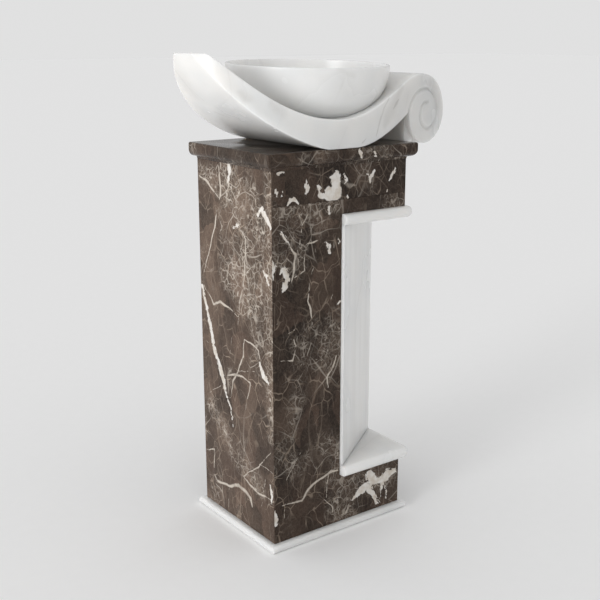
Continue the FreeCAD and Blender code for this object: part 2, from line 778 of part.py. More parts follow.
def tail_tube():
    tube = rod(PIPE_DIAMETER, TAIL_FOOT, TAIL_TOP)
    tube = tube.fuse(rod(WASTE_OUTER, TAIL_TOP - TAIL_COLLAR, TAIL_TOP))
    bore = rod(PIPE_DIAMETER - 2 * PIPE_WALL, TAIL_FOOT - OVERRUN, TAIL_TOP + OVERRUN)
    return tube.cut(bore).removeSplitter()


def tail_nut():
    floor = TAIL_TOP - TAIL_COLLAR
    top = WASTE_FOOT + NUT_GRIP
    nut = rod(WASTE_OUTER + 2 * NUT_WALL, floor - NUT_ROOF, top)
    nut = nut.cut(rod(WASTE_OUTER + 2 * PLAY, floor, top + OVERRUN))
    return nut.cut(rod(PIPE_DIAMETER + 2 * PIPE_PLAY, floor - NUT_ROOF - OVERRUN, top))


def trap_inlet_washer():
    return sleeve(TRAP_NECK, PIPE_DIAMETER + 2 * PLAY, NECK_TOP, NECK_TOP + GASKET)


def trap_inlet_nut():
    roof = NECK_TOP + GASKET
    foot = NECK_TOP - NUT_GRIP
    nut = rod(TRAP_NECK + 2 * NUT_WALL, foot, roof + NUT_ROOF)
    nut = nut.cut(rod(TRAP_NECK + 2 * PLAY, foot - OVERRUN, roof))
    return nut.cut(rod(PIPE_DIAMETER + 2 * PIPE_PLAY, foot, roof + NUT_ROOF + OVERRUN))


def trap_body():
    head = rod(TRAP_DIAMETER, HEAD_FOOT, HEAD_TOP)
    head = head.fuse(rod(TRAP_NECK, HEAD_TOP, NECK_TOP))
    head = head.fuse(rod_y(STUB_DIAMETER, BASIN_Y, STUB_END))
    head = head.cut(rod(TRAP_DIAMETER - 2 * TRAP_WALL, HEAD_FOOT - OVERRUN, HEAD_TOP - TRAP_WALL))
    head = head.cut(rod(PIPE_DIAMETER + 2 * PIPE_PLAY, HEAD_FOOT, NECK_TOP + OVERRUN))
    head = head.cut(rod_y(PIPE_DIAMETER + 2 * PIPE_PLAY, BASIN_Y, STUB_END + OVERRUN))
    return head.removeSplitter()


def trap_seal():
    return sleeve(TRAP_DIAMETER, TRAP_DIAMETER - 2 * TRAP_WALL, HEAD_FOOT - GASKET, HEAD_FOOT)


def trap_cup():
    top = HEAD_FOOT + CUP_OVERLAP
    foot = top - CUP_HEIGHT
    bore = TRAP_DIAMETER + 2 * PLAY
    cup_shell = rod(bore + 2 * TRAP_WALL, foot, top)
    cup_shell = cup_shell.cut(rod(bore, HEAD_FOOT - GASKET, top + OVERRUN))
    return cup_shell.cut(rod(TRAP_DIAMETER - 2 * TRAP_WALL, foot + TRAP_WALL, top))


def outlet_washer():
    return sleeve_y(STUB_DIAMETER, PIPE_DIAMETER + 2 * PLAY, STUB_END, STUB_END + GASKET)


def outlet_nut():
    roof = STUB_END + GASKET
    foot = STUB_END - OUTLET_GRIP
    nut = rod_y(STUB_DIAMETER + 2 * NUT_WALL, foot, roof + NUT_ROOF)
    nut = nut.cut(rod_y(STUB_DIAMETER + 2 * PLAY, foot - OVERRUN, roof))
    return nut.cut(rod_y(PIPE_DIAMETER + 2 * PIPE_PLAY, foot, roof + NUT_ROOF + OVERRUN))


def outlet_pipe():
    """Straight pipe to the wall, with a rolled bead that keeps its collar on."""
    end = HALF_D + OUTLET_PROUD
    bore = PIPE_DIAMETER - 2 * PIPE_WALL
    bead = HALF_D + COVER_THICKNESS + ROSETTE_THICKNESS
    pipe = sleeve_y(PIPE_DIAMETER, bore, BASIN_Y + TRAP_DIAMETER / 2, end)
    ring = sleeve_y(PIPE_DIAMETER + 2 * PIPE_BEAD, bore, bead, bead + PIPE_BEAD_WIDTH)
    return pipe.fuse(ring).removeSplitter()


def pipe_collar():
    face = HALF_D + COVER_THICKNESS
    return sleeve_y(ROSETTE_DIAMETER, PIPE_DIAMETER + 2 * PIPE_PLAY, face, face + ROSETTE_THICKNESS)


def frame_ring(z0):
    """Square bar bent round the inside of the slabs."""
    x = HALF_W - SLAB
    y = HALF_D - SLAB
    ring = block(-x, x, -y, y, z0, z0 + BAR)
    return ring.cut(block(BAR - x, x - BAR, BAR - y, y - BAR, z0 - OVERRUN, z0 + BAR + OVERRUN))


def frame_bottom_ring():
    return frame_ring(COLUMN_FOOT)


def frame_top_ring():
    ring = frame_ring(COLUMN_TOP - BAR)
    hole = STUD_DIAMETER + 2 * PLAY
    for x, y in stud_places():
        ring = ring.cut(rod(hole, COLUMN_TOP - BAR - OVERRUN, COLUMN_TOP + OVERRUN, x, y))
    return ring


def frame_posts():
    """Bars in the four corners; the one behind the niche stops below its floor and above its ceiling."""
    x = HALF_W - SLAB
    y = HALF_D - SLAB
    foot = COLUMN_FOOT + BAR
    top = COLUMN_TOP - BAR
    posts = [
        block(-x, BAR - x, -y, BAR - y, foot, top),
        block(-x, BAR - x, y - BAR, y, foot, top),
        block(x - BAR, x, y - BAR, y, foot, top),
        block(x - BAR, x, -y, BAR - y, foot, SHELF_FOOT),
        block(x - BAR, x, -y, BAR - y, SOFFIT_TOP, top),
    ]
    return Part.makeCompound(posts)


def niche_battens():
    """Two bars that stand behind the diagonal slab, from the plinth to the cap."""
    length = NICHE_WIDTH / math.cos(math.radians(NICHE_ANGLE))
    battens = []
    for share in batten_shares:
        bar = block(share * length - BAR / 2, share * length + BAR / 2, 0.0, BAR, COLUMN_FOOT, COLUMN_TOP)
        bar.rotate(vec(0, 0, 0), Z_AXIS, NICHE_ANGLE)
        bar.translate(vec(NICHE_X, WALL_BACK, 0))
        battens.append(bar)
    return Part.makeCompound(battens)


def cap_studs():
    foot = COLUMN_TOP - BAR - STUD_NUT_HEIGHT
    top = COLUMN_TOP + STUD_EMBED
    return Part.makeCompound([rod(STUD_DIAMETER, foot, top, x, y) for x, y in stud_places()])


def cap_nuts():
    top = COLUMN_TOP - BAR
    foot = top - STUD_NUT_HEIGHT
    nuts = []
    for x, y in stud_places():
        bore = rod(STUD_DIAMETER + 2 * PLAY, foot - OVERRUN, top + OVERRUN, x, y)
        nuts.append(hexagon(STUD_NUT_DIAMETER, foot, top, x, y).cut(bore))
    return Part.makeCompound(nuts)


def basin_dowels():
    foot = SEAT - DOWEL_EMBED
    top = SEAT + DOWEL_EMBED
    return Part.makeCompound([rod(DOWEL_DIAMETER, foot, top, x, y) for x, y in dowel_places()])


PIECES = [
    plinth_slab, left_panel, right_panel, front_panel, front_header_panel, back_panel,
    service_cover, cover_screws, niche_back_slab, niche_shelf_slab, niche_soffit_slab,
    cap_slab, basin_scroll, basin_bowl, frame_bottom_ring, frame_top_ring, frame_posts,
    niche_battens, cap_studs, cap_nuts, basin_dowels, waste_body, waste_seal, lower_gasket,
    back_nut, plug_cap, plug_seal, plug_stem, stem_bush, click_cartridge, plug_spring,
    tail_washer, tail_tube, tail_nut, trap_inlet_washer, trap_inlet_nut, trap_body, trap_seal,
    trap_cup, outlet_washer, outlet_nut, outlet_pipe, pipe_collar,
]

os.makedirs("parts", exist_ok=True)
for piece in PIECES:
    shape = piece()
    name = piece.__name__
    if not shape.isValid():
        raise ValueError(name + " is not a valid solid")
    shape.exportStep(os.path.join("parts", name + ".step"))
    print(name, len(shape.Solids), round(shape.Volume))
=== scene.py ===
# %% [markdown]
# A wash basin on a column, cut from two marbles. A white bowl sits in a white saddle that sweeps up
# to a lip on one side and rolls into a volute on the other. Below it stands a column of dark brown
# slabs with one corner cut away and lined in white. The construction is already there, as fixed nodes
# with their real sizes, so this lesson only dresses them: it eases sharp edges, carves what a chisel
# would carve, and gives every surface its stone, metal, rubber or paint.

# %% Load the construction
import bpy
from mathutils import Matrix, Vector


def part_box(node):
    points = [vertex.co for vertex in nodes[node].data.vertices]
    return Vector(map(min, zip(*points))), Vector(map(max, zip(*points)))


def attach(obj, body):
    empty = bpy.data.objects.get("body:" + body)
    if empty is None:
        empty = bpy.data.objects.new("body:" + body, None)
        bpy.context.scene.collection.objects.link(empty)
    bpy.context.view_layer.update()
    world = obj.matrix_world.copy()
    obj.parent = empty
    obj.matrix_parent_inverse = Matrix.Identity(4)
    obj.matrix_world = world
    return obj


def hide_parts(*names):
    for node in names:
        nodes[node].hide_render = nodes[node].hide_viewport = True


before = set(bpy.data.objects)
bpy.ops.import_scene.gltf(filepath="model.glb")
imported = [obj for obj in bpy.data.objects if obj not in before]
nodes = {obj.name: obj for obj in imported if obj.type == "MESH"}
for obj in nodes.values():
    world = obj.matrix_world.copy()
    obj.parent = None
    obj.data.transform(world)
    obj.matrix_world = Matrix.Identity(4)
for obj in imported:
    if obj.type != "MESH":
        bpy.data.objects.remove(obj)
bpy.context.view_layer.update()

import math
import bmesh
import bpy
import numpy as np
from mathutils import Matrix, Vector

# %% [markdown]
# Every new piece is a mesh that rides on a body of the frame, stands for one of its nodes and takes
# that node's finish. These calls always come together, so one helper makes them. Stone is shaded
# smooth, and an edge that turns sharply is kept crisp.

# %% Make a piece of a mesh
CRISP_EDGE = math.radians(38)
WELD = 1e-6
SLIVER = 1e-7


def new_object(name, data):
    made = bpy.data.objects.new(name, data)
    bpy.context.scene.collection.objects.link(made)
    return made


def add_piece(name, mesh, material, node, body="pedestal"):
    piece = new_object(name, mesh)
    mesh.materials.clear()
    mesh.materials.append(material)
    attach(piece, body)
    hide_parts(node)
    return piece


def shade(mesh):
    mesh.shade_smooth()
    mesh.set_sharp_from_angle(angle=CRISP_EDGE)


def mesh_from(bm, name):
    bmesh.ops.remove_doubles(bm, verts=bm.verts, dist=WELD)
    bmesh.ops.dissolve_degenerate(bm, edges=bm.edges, dist=SLIVER)
    bmesh.ops.recalc_face_normals(bm, faces=bm.faces)
    mesh = bpy.data.meshes.new(name)
    bm.to_mesh(mesh)
    bm.free()
    shade(mesh)
    return mesh


# %% [markdown]
# Materials are graphs of small steps. Writing them node by node would bury the stone under wiring,
# so a few short helpers name the steps: sums, noise, a smooth threshold and a mix of two colours.

# %% Sums and thresholds
def add_node(tree, kind, values=None, **settings):
    made = tree.nodes.new("ShaderNode" + kind)
    for key, value in settings.items():
        setattr(made, key, value)
    for key, value in (values or {}).items():
        if isinstance(value, bpy.types.NodeSocket):
            tree.links.new(value, made.inputs[key])
        else:
            made.inputs[key].default_value = value
    return made


def calc(tree, operation, a, b=0.0):
    return add_node(tree, "Math", {0: a, 1: b}, operation=operation).outputs[0]


def times(tree, a, b):
    return calc(tree, "MULTIPLY", a, b)


def most(tree, a, b):
    return calc(tree, "MAXIMUM", a, b)


def scaled(tree, value, factor, start):
    """The value times a factor, counted from a start."""
    return add_node(tree, "Math", {0: value, 1: factor, 2: start}, operation="MULTIPLY_ADD").outputs[0]


def vector_calc(tree, operation, a, b):
    made = add_node(tree, "VectorMath", {0: a, 1: b}, operation=operation)
    return made.outputs["Value" if operation in ("DOT_PRODUCT", "LENGTH") else "Vector"]


def threshold(tree, value, low, high):
    """0 below low, 1 above high, and smooth between them."""
    made = add_node(tree, "MapRange", {"Value": value, "From Min": low, "From Max": high})
    made.interpolation_type = "SMOOTHSTEP"
    return made.outputs["Result"]


def below(tree, value, low, high):
    """1 below low, 0 above high, and smooth between them."""
    return calc(tree, "SUBTRACT", 1.0, threshold(tree, value, low, high))


# %% Noise, colours and new materials
def noise(tree, point, scale, detail=3.0, roughness=0.5, output="Fac"):
    values = {"Vector": point, "Scale": scale, "Detail": detail, "Roughness": roughness}
    return add_node(tree, "TexNoise", values).outputs[output]


def mix(tree, share, first, second):
    return add_node(tree, "Mix", {0: share, 6: first, 7: second}, data_type="RGBA").outputs[2]


def tint(tree, colour, factor):
    values = {0: 1.0, 6: colour, 7: factor}
    return add_node(tree, "Mix", values, data_type="RGBA", blend_type="MULTIPLY").outputs[2]


def grey(level):
    return (level, level, level, 1)


def bump(tree, height, depth):
    return add_node(tree, "Bump", {"Height": height, "Distance": depth, "Strength": 1.0}).outputs["Normal"]


def new_material(name):
    material = bpy.data.materials.new(name)
    material.use_nodes = True
    tree = material.node_tree
    shader = tree.nodes["Principled BSDF"]
    point = tree.nodes.new("ShaderNodeTexCoord").outputs["Object"]
    return material, tree, shader, point


# %% [markdown]
# Nothing in stone is straight for long. A pattern wanders if the point at which it is looked up is first
# pushed about. A push by smooth noise bends a line, and a push by one step in each cell chips its edge.

# %% Push a point about
def pushed(tree, point, field, reach):
    """The point moved by a coloured field, by up to the reach each way."""
    step = vector_calc(tree, "SUBTRACT", field, (0.5, 0.5, 0.5))
    step = vector_calc(tree, "MULTIPLY", step, (2 * reach, 2 * reach, 2 * reach))
    return vector_calc(tree, "ADD", point, step)


def warp(tree, point, scale, reach, detail=2.0):
    """The point pushed about by noise, so that straight things come out wandering."""
    return pushed(tree, point, noise(tree, point, scale, detail, output="Color"), reach)


def shatter(tree, point, scale, reach):
    """The point pushed about by one fixed step in each cell, so that edges come out chipped."""
    cells = add_node(tree, "TexVoronoi", {"Vector": point, "Scale": scale})
    return pushed(tree, point, cells.outputs["Color"], reach)


# %% [markdown]
# A vein that the eye remembers is drawn as a line through a few places with a half-width at each.
# One leg of such a line is a small group of nodes: it finds the nearest place on the leg, works out the
# width there, and gives 1 inside and 0 outside. Feeding it a disturbed point makes the edge ragged.

# %% The stroke group
def make_stroke_group():
    group = bpy.data.node_groups.new("vein_stroke", "ShaderNodeTree")
    for name, kind in (("Point", "Vector"), ("Start", "Vector"), ("End", "Vector"),
                       ("Start Width", "Float"), ("End Width", "Float"), ("Softness", "Float")):
        group.interface.new_socket(name, in_out="INPUT", socket_type="NodeSocket" + kind)
    group.interface.new_socket("Mask", in_out="OUTPUT", socket_type="NodeSocketFloat")
    inputs = group.nodes.new("NodeGroupInput").outputs
    arm = vector_calc(group, "SUBTRACT", inputs["Point"], inputs["Start"])
    run = vector_calc(group, "SUBTRACT", inputs["End"], inputs["Start"])
    along = calc(group, "DIVIDE", vector_calc(group, "DOT_PRODUCT", arm, run),
                 vector_calc(group, "DOT_PRODUCT", run, run))
    along = add_node(group, "Clamp", {0: along}).outputs[0]
    foot = add_node(group, "VectorMath", {0: run, "Scale": along}, operation="SCALE").outputs["Vector"]
    gap = vector_calc(group, "LENGTH", vector_calc(group, "SUBTRACT", arm, foot), (0, 0, 0))
    growth = calc(group, "SUBTRACT", inputs["End Width"], inputs["Start Width"])
    half = calc(group, "ADD", times(group, along, growth), inputs["Start Width"])
    inner = calc(group, "SUBTRACT", 1.0, inputs["Softness"])
    outer = calc(group, "ADD", 1.0, inputs["Softness"])
    inside = below(group, calc(group, "DIVIDE", gap, half), inner, outer)
    group.links.new(inside, group.nodes.new("NodeGroupOutput").inputs["Mask"])
    return group


stroke_group = make_stroke_group()
print("steps in a stroke:", len(stroke_group.nodes))


def draw_strokes(tree, point, strokes, softness):
    """The strongest of several strokes; each is a list of (place, half-width)."""
    total = 0.0
    for stroke in strokes:
        for (start, start_width), (end, end_width) in zip(stroke, stroke[1:]):
            leg = add_node(tree, "Group", {
                "Point": point, "Start": start, "End": end, "Start Width": start_width,
                "End Width": end_width, "Softness": softness}, node_tree=stroke_group)
            total = most(tree, leg.outputs["Mask"], total)
    return total


# %% [markdown]
# Dark brown marble is a breccia: brown stone that was broken and healed with pale calcite. The healed cracks
# follow the edges of cells, so a cell pattern gives them. Finer threads run where a slow swell of noise
# passes its middle, like a contour on a map. Neither goes on for ever: a share of each is closed.

# %% Cracks and threads
def partly_closed(tree, point, scale, line, closed):
    fading = noise(tree, point, scale, 2.0)
    return times(tree, line, threshold(tree, fading, closed - 0.10, closed + 0.12))


def cracks(tree, point, scale, half_width, bend, closed):
    """Lines along the edges of cells; each opens and narrows."""
    bent = warp(tree, point, 0.9 * scale, bend / scale, 1.0)
    edges = add_node(tree, "TexVoronoi", {"Vector": bent, "Scale": scale}, feature="DISTANCE_TO_EDGE")
    opening = threshold(tree, noise(tree, point, 1.7 * scale, 2.0), 0.3, 0.7)
    half = scaled(tree, opening, 1.5 * half_width * scale, 0.3 * half_width * scale)
    line = below(tree, calc(tree, "DIVIDE", edges.outputs["Distance"], half), 0.2, 1.0)
    return partly_closed(tree, point, 0.55 * scale, line, closed)


def threads(tree, point, scale, half_width, closed):
    """Long wandering lines, where a slow swell passes its middle."""
    swell = noise(tree, warp(tree, point, 3.0 * scale, 0.05 / scale), scale, 1.0)
    off = calc(tree, "ABSOLUTE", calc(tree, "SUBTRACT", swell, 0.5))
    half = 0.7 * half_width * scale
    return partly_closed(tree, point, 1.3 * scale, below(tree, off, 0.2 * half, half), closed)


# %% [markdown]
# The body of the stone is islands of brown, each with its own tone. Hair-thin fibres run up through them.
# Cracks at three sizes part them: long ones, short ones, and a crackle that shows only where the stone was
# crushed. Every slab is sawn from another place in the block, so each has its own shift, tone, share of
# crushing and strokes; the tone of the lit left slab is also raised as painted light. Each is one function,
# because its layers are laid in a fixed order.

# %% Brown body of the dark marble
DEEP_BROWN = (0.060, 0.039, 0.028, 1)
MID_BROWN = (0.120, 0.082, 0.060, 1)
RED_BROWN = (0.150, 0.090, 0.066, 1)
TALL_CELLS = (1.0, 1.0, 0.72)


def brown_body(tree, moved, point, tone):
    cloud = noise(tree, point, 15.0, 5.0, 0.6)
    brown = mix(tree, threshold(tree, cloud, 0.36, 0.66), DEEP_BROWN, MID_BROWN)
    islands = add_node(tree, "TexVoronoi", {"Vector": warp(tree, point, 40.0, 0.010), "Scale": 27.0})
    island = add_node(tree, "SeparateColor", {0: islands.outputs["Color"]}).outputs
    brown = mix(tree, times(tree, threshold(tree, island[1], 0.45, 0.95), 0.22), brown, RED_BROWN)
    brown = tint(tree, brown, mix(tree, island[0], grey(0.68), grey(1.32)))
    grain = noise(tree, moved, 520.0, 3.0, 0.65)
    brown = tint(tree, brown, mix(tree, threshold(tree, grain, 0.3, 0.7), grey(0.76), grey(1.24)))
    return tint(tree, brown, grey(tone))


# %% Dark marble
TAN = (0.390, 0.310, 0.240, 1)
CREAM = (0.560, 0.500, 0.430, 1)
PALE = (0.700, 0.672, 0.635, 1)
FIBRE_WAY = (1.0, 1.0, 0.60)
LONG_RUN = (1.0, 1.0, 0.30)
LEAN = (0.6, 0.6, 0.0)
DARK_SHINE = 0.14
SEAM_DEPTH = 0.00003


def fibres(tree, moved, crush):
    silk = vector_calc(tree, "MULTIPLY", warp(tree, moved, 25.0, 0.007, 3.0), FIBRE_WAY)
    off = calc(tree, "ABSOLUTE", calc(tree, "SUBTRACT", noise(tree, silk, 120.0, 4.0, 0.65), 0.5))
    return times(tree, below(tree, off, 0.0, 0.05), scaled(tree, crush, 0.12, 0.10))


def hairs(tree, moved):
    upright = vector_calc(tree, "MULTIPLY", moved, LONG_RUN)
    turned = add_node(tree, "VectorRotate", {"Vector": moved, "Rotation": LEAN}, rotation_type="EULER_XYZ")
    leaning = vector_calc(tree, "MULTIPLY", turned.outputs["Vector"], LONG_RUN)
    return most(tree, threads(tree, upright, 13.0, 0.0009, 0.47), threads(tree, leaning, 19.0, 0.0008, 0.49))


def dark_marble(name, shift, tone, crushed, veins=(), patches=(), holes=(), zones=(), matt=0.13):
    material, tree, shader, place = new_material("dark_marble_" + name)
    moved = vector_calc(tree, "ADD", place, shift)
    point = vector_calc(tree, "MULTIPLY", moved, TALL_CELLS)
    crush = calc(tree, "ADD", noise(tree, point, 9.0, 4.0, 0.6), crushed)
    crush = threshold(tree, crush, 0.50, 0.66)
    if zones:
        loose = warp(tree, place, 30.0, 0.014, 3.0)
        crush = most(tree, crush, draw_strokes(tree, loose, zones, 0.7))
    lace = times(tree, cracks(tree, moved, 95.0, 0.0008, 0.5, 0.46), 0.6)
    lace = most(tree, lace, cracks(tree, moved, 44.0, 0.0011, 0.55, 0.42))
    crackle = times(tree, lace, crush)
    blotch = noise(tree, warp(tree, moved, 60.0, 0.006, 3.0), 75.0, 4.0, 0.6)
    blotch = times(tree, threshold(tree, blotch, 0.60, 0.68), calc(tree, "POWER", crush, 2.0))
    short = cracks(tree, point, 36.0, 0.0007, 0.35, 0.51)
    long = cracks(tree, point, 17.0, 0.0009, 0.30, 0.54)

    strength = 0.25 + 0.85 * tone
    layers = ((crush, 0.07, TAN), (fibres(tree, moved, crush), 1.0, TAN), (crackle, 0.64, CREAM),
              (short, 0.60, TAN), (hairs(tree, moved), 0.26, TAN), (long, 0.52, CREAM), (blotch, 0.70, CREAM))
    colour = brown_body(tree, moved, point, tone)
    for mask, share, pigment in layers:
        colour = mix(tree, times(tree, mask, share * strength), colour, pigment)
    if veins:
        ragged = warp(tree, warp(tree, place, 38.0, 0.0040, 3.0), 140.0, 0.0011, 3.0)
        worn = threshold(tree, noise(tree, place, 70.0, 3.0), 0.25, 0.6)
        vein = times(tree, draw_strokes(tree, ragged, veins, 0.45), scaled(tree, worn, 0.35, 0.6))
        colour = mix(tree, vein, colour, CREAM)
    if patches:
        torn = shatter(tree, warp(tree, place, 55.0, 0.0042, 4.0), 150.0, 0.0017)
        patch = draw_strokes(tree, torn, patches, 0.12)
        if holes:
            bare = calc(tree, "SUBTRACT", 1.0, draw_strokes(tree, torn, holes, 0.15))
            patch = times(tree, patch, bare)
        stain = threshold(tree, noise(tree, place, 90.0, 4.0, 0.6), 0.35, 0.7)
        colour = mix(tree, patch, colour, mix(tree, stain, PALE, CREAM))
    seam = most(tree, long, crackle)
    tree.links.new(colour, shader.inputs["Base Color"])
    tree.links.new(scaled(tree, seam, 0.08, matt), shader.inputs["Roughness"])
    shader.inputs["Specular IOR Level"].default_value = DARK_SHINE
    tree.links.new(bump(tree, seam, SEAM_DEPTH), shader.inputs["Normal"])
    return material


# %% [markdown]
# White marble is almost one colour, so what it needs is restraint: broad clouds of slightly warmer and
# cooler white, and a few grey veins that run on a slant and fade out. Light goes a little way into it,
# which softens its shadows, and the polish leaves an even gloss.

# %% White marble
WARM_WHITE = (0.795, 0.785, 0.765, 1)
COOL_WHITE = (0.715, 0.720, 0.715, 1)
VEIN_GREY = (0.42, 0.40, 0.38, 1)
SLANT = (1.0, 0.7, 0.55)
UPRIGHT_BEDS = (1.0, 1.0, 0.04)
MILKY_SHARE = 0.9
MILKY_DEPTH = 0.030
MILKY_COLOURS = (1.0, 0.96, 0.92)
WHITE_SHINE = 0.35
CRYSTAL_DEPTH = 0.000005


def white_veins(tree, slanted, point, veined):
    """Thin threads with smoke beside them, which fade in and out."""
    bent = warp(tree, slanted, 6.0, 0.05, 2.0)
    cells = add_node(tree, "TexVoronoi", {"Vector": bent, "Scale": 6.0}, feature="DISTANCE_TO_EDGE")
    fade = threshold(tree, noise(tree, point, 5.0, 3.0), 0.42, 0.62)
    thread = below(tree, cells.outputs["Distance"], 0.0, 0.03)
    smoke = below(tree, cells.outputs["Distance"], 0.0, 0.18)
    return most(tree, times(tree, thread, times(tree, fade, 0.8 * veined)),
                times(tree, smoke, times(tree, fade, 0.5 * veined)))


def white_marble(name, shift, veined, strokes=(), smudges=(), paleness=1.0, bedding=0.0):
    material, tree, shader, place = new_material("white_marble_" + name)
    point = vector_calc(tree, "ADD", place, shift)
    slanted = vector_calc(tree, "MULTIPLY", warp(tree, point, 3.0, 0.05, 0.0), SLANT)
    clouds = noise(tree, slanted, 9.0, 3.0)
    colour = mix(tree, threshold(tree, clouds, 0.36, 0.68), WARM_WHITE, COOL_WHITE)
    vein = white_veins(tree, slanted, point, veined)
    if strokes:
        drawn = draw_strokes(tree, warp(tree, place, 22.0, 0.004, 2.0), strokes, 0.8)
        broken = threshold(tree, noise(tree, place, 30.0, 2.0, 0.5), 0.1, 0.6)
        vein = most(tree, vein, times(tree, drawn, times(tree, broken, 0.5)))
    if smudges:
        smear = draw_strokes(tree, warp(tree, place, 25.0, 0.012, 4.0), smudges, 1.0)
        vein = most(tree, vein, times(tree, smear, 0.22))
    if bedding:
        beds = noise(tree, vector_calc(tree, "MULTIPLY", point, UPRIGHT_BEDS), 55.0, 3.0)
        vein = most(tree, vein, times(tree, threshold(tree, beds, 0.35, 0.65), bedding))
    colour = mix(tree, vein, colour, VEIN_GREY)
    crystal = noise(tree, point, 900.0, 2.0)
    sparkle = mix(tree, threshold(tree, crystal, 0.3, 0.7), grey(0.985 * paleness), grey(1.01 * paleness))
    tree.links.new(tint(tree, colour, sparkle), shader.inputs["Base Color"])
    tree.links.new(scaled(tree, clouds, 0.12, 0.20), shader.inputs["Roughness"])
    shader.inputs["Specular IOR Level"].default_value = WHITE_SHINE
    shader.inputs["Subsurface Weight"].default_value = MILKY_SHARE
    shader.inputs["Subsurface Radius"].default_value = MILKY_COLOURS
    shader.inputs["Subsurface Scale"].default_value = MILKY_DEPTH
    tree.links.new(bump(tree, crystal, CRYSTAL_DEPTH), shader.inputs["Normal"])
    return material


# %% [markdown]
# The flat slabs are right as they are, but no stone slab leaves the saw with a razor edge: the arris is
# rubbed down by less than a millimetre, and that thin facet is what catches the light. A copy of the
# node's mesh is welded, its flat triangles are merged back into whole faces, and a bevel eases what is sharp.

# %% Ease the edges of a slab
FLAT = math.radians(0.6)
SLAB_WELD = 1e-5
ARRIS = 0.0007
FINE_ARRIS = 0.0003


def eased_piece(node, name, material, arris, body="pedestal"):
    bm = bmesh.new()
    bm.from_mesh(nodes[node].data)
    bmesh.ops.remove_doubles(bm, verts=bm.verts, dist=SLAB_WELD)
    bmesh.ops.dissolve_limit(bm, angle_limit=FLAT, verts=bm.verts, edges=bm.edges)
    piece = add_piece(name, mesh_from(bm, name), material, node, body)
    ease = piece.modifiers.new("arris", "BEVEL")
    ease.width = arris
    ease.segments = 2
    ease.limit_method = "ANGLE"
    ease.angle_limit = CRISP_EDGE
    ease.harden_normals = True
    return piece


# %% [markdown]
# The camera stands at the left, a little above the basin, and looks down on it with a slightly long lens. Its
# place and turn were fitted to the edges of the column, so the picture has the photograph's perspective. It
# comes before the veins, because those that can be seen are placed by the pixels at which they were read.

# %% Camera
CAMERA_PLACE = Vector((-1.0649, -1.4548, 0.9144))
CAMERA_TURN = math.radians(-36.111)
CAMERA_DOWN = math.radians(15.065)
CAMERA_ROLL = math.radians(-0.125)
CAMERA_LENS = 58.65
camera_data = bpy.data.cameras.new("camera")
camera_data.lens = CAMERA_LENS
camera = new_object("camera", camera_data)
look = Matrix.Rotation(CAMERA_TURN, 4, "Z") @ Matrix.Rotation(math.pi / 2 - CAMERA_DOWN, 4, "X")
camera.matrix_world = Matrix.Translation(CAMERA_PLACE) @ look @ Matrix.Rotation(CAMERA_ROLL, 4, "Z")
bpy.context.scene.camera = camera
print("camera at", tuple(CAMERA_PLACE))

# %% [markdown]
# A vein that can be seen is a row of pixels, counted right and down in a picture of 600 by 600, each with a
# half-width in millimetres. The line of sight through a pixel is followed until it meets the face of the
# slab; the camera's roll is too small to matter there. Guessing the places on the stone would be quicker, but
# then the veins would not lie where the eye finds them.

# %% Places that the camera sees
MM = 0.001
PHOTO_SIDE = 600
column_low = Vector(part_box("left_panel")[0])
column_high = Vector((-column_low.x, -column_low.y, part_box("left_panel")[1][2]))
column_size = column_high - column_low
cap_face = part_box("cap_slab")[0][1]
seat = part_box("cap_slab")[1][2]


def place_seen(right, down, axis, level):
    """Where the line of sight through a pixel meets the plane at a level of one axis."""
    middle = PHOTO_SIDE / 2
    ahead = CAMERA_LENS / camera_data.sensor_width * PHOTO_SIDE
    sight = look.to_3x3() @ Vector((right - middle, middle - down, -ahead))
    return CAMERA_PLACE + sight * ((level - CAMERA_PLACE[axis]) / sight[axis])


def seen_on(axis, level):
    """A function that sets strokes of (right, down, half-width) on the plane at a level of one axis."""
    def set_strokes(*strokes):
        return [[(place_seen(right, down, axis, level), w * MM) for right, down, w in stroke]
                for stroke in strokes]
    return set_strokes


seen_on_left = seen_on(0, column_low.x)
seen_on_front = seen_on(1, column_low.y)
seen_on_cap = seen_on(1, cap_face)
print("column:", tuple(column_size), "seat:", seat)

# %% [markdown]
# What cannot be seen, and the broad zones where the stone was crushed, are placed in hundredths of a face,
# across and up, so they stay on the stone if it changes size. The two sides are read from their near edge
# backwards, the front and the back from left to right as seen from the front. A pale patch is a broad stroke.

# %% Places on the faces of the column
HUNDREDTH = 0.01


def face(corner_x, corner_y, across):
    """A function that sets strokes of (across, up, half-width) on one face of the column."""
    corner = Vector((corner_x, corner_y, column_low.z))
    up = Vector((0, 0, column_size.z))

    def set_strokes(*strokes):
        return [[(corner + a * HUNDREDTH * across + u * HUNDREDTH * up, w * MM) for a, u, w in stroke]
                for stroke in strokes]
    return set_strokes


side_run, front_run = Vector((0, column_size.y, 0)), Vector((column_size.x, 0, 0))
on_left = face(column_low.x, column_low.y, side_run)
on_right = face(column_high.x, column_low.y, side_run)
on_front = face(column_low.x, column_low.y, front_run)
on_back = face(column_low.x, column_high.y, front_run)
print("runs across the faces:", side_run.length, front_run.length)

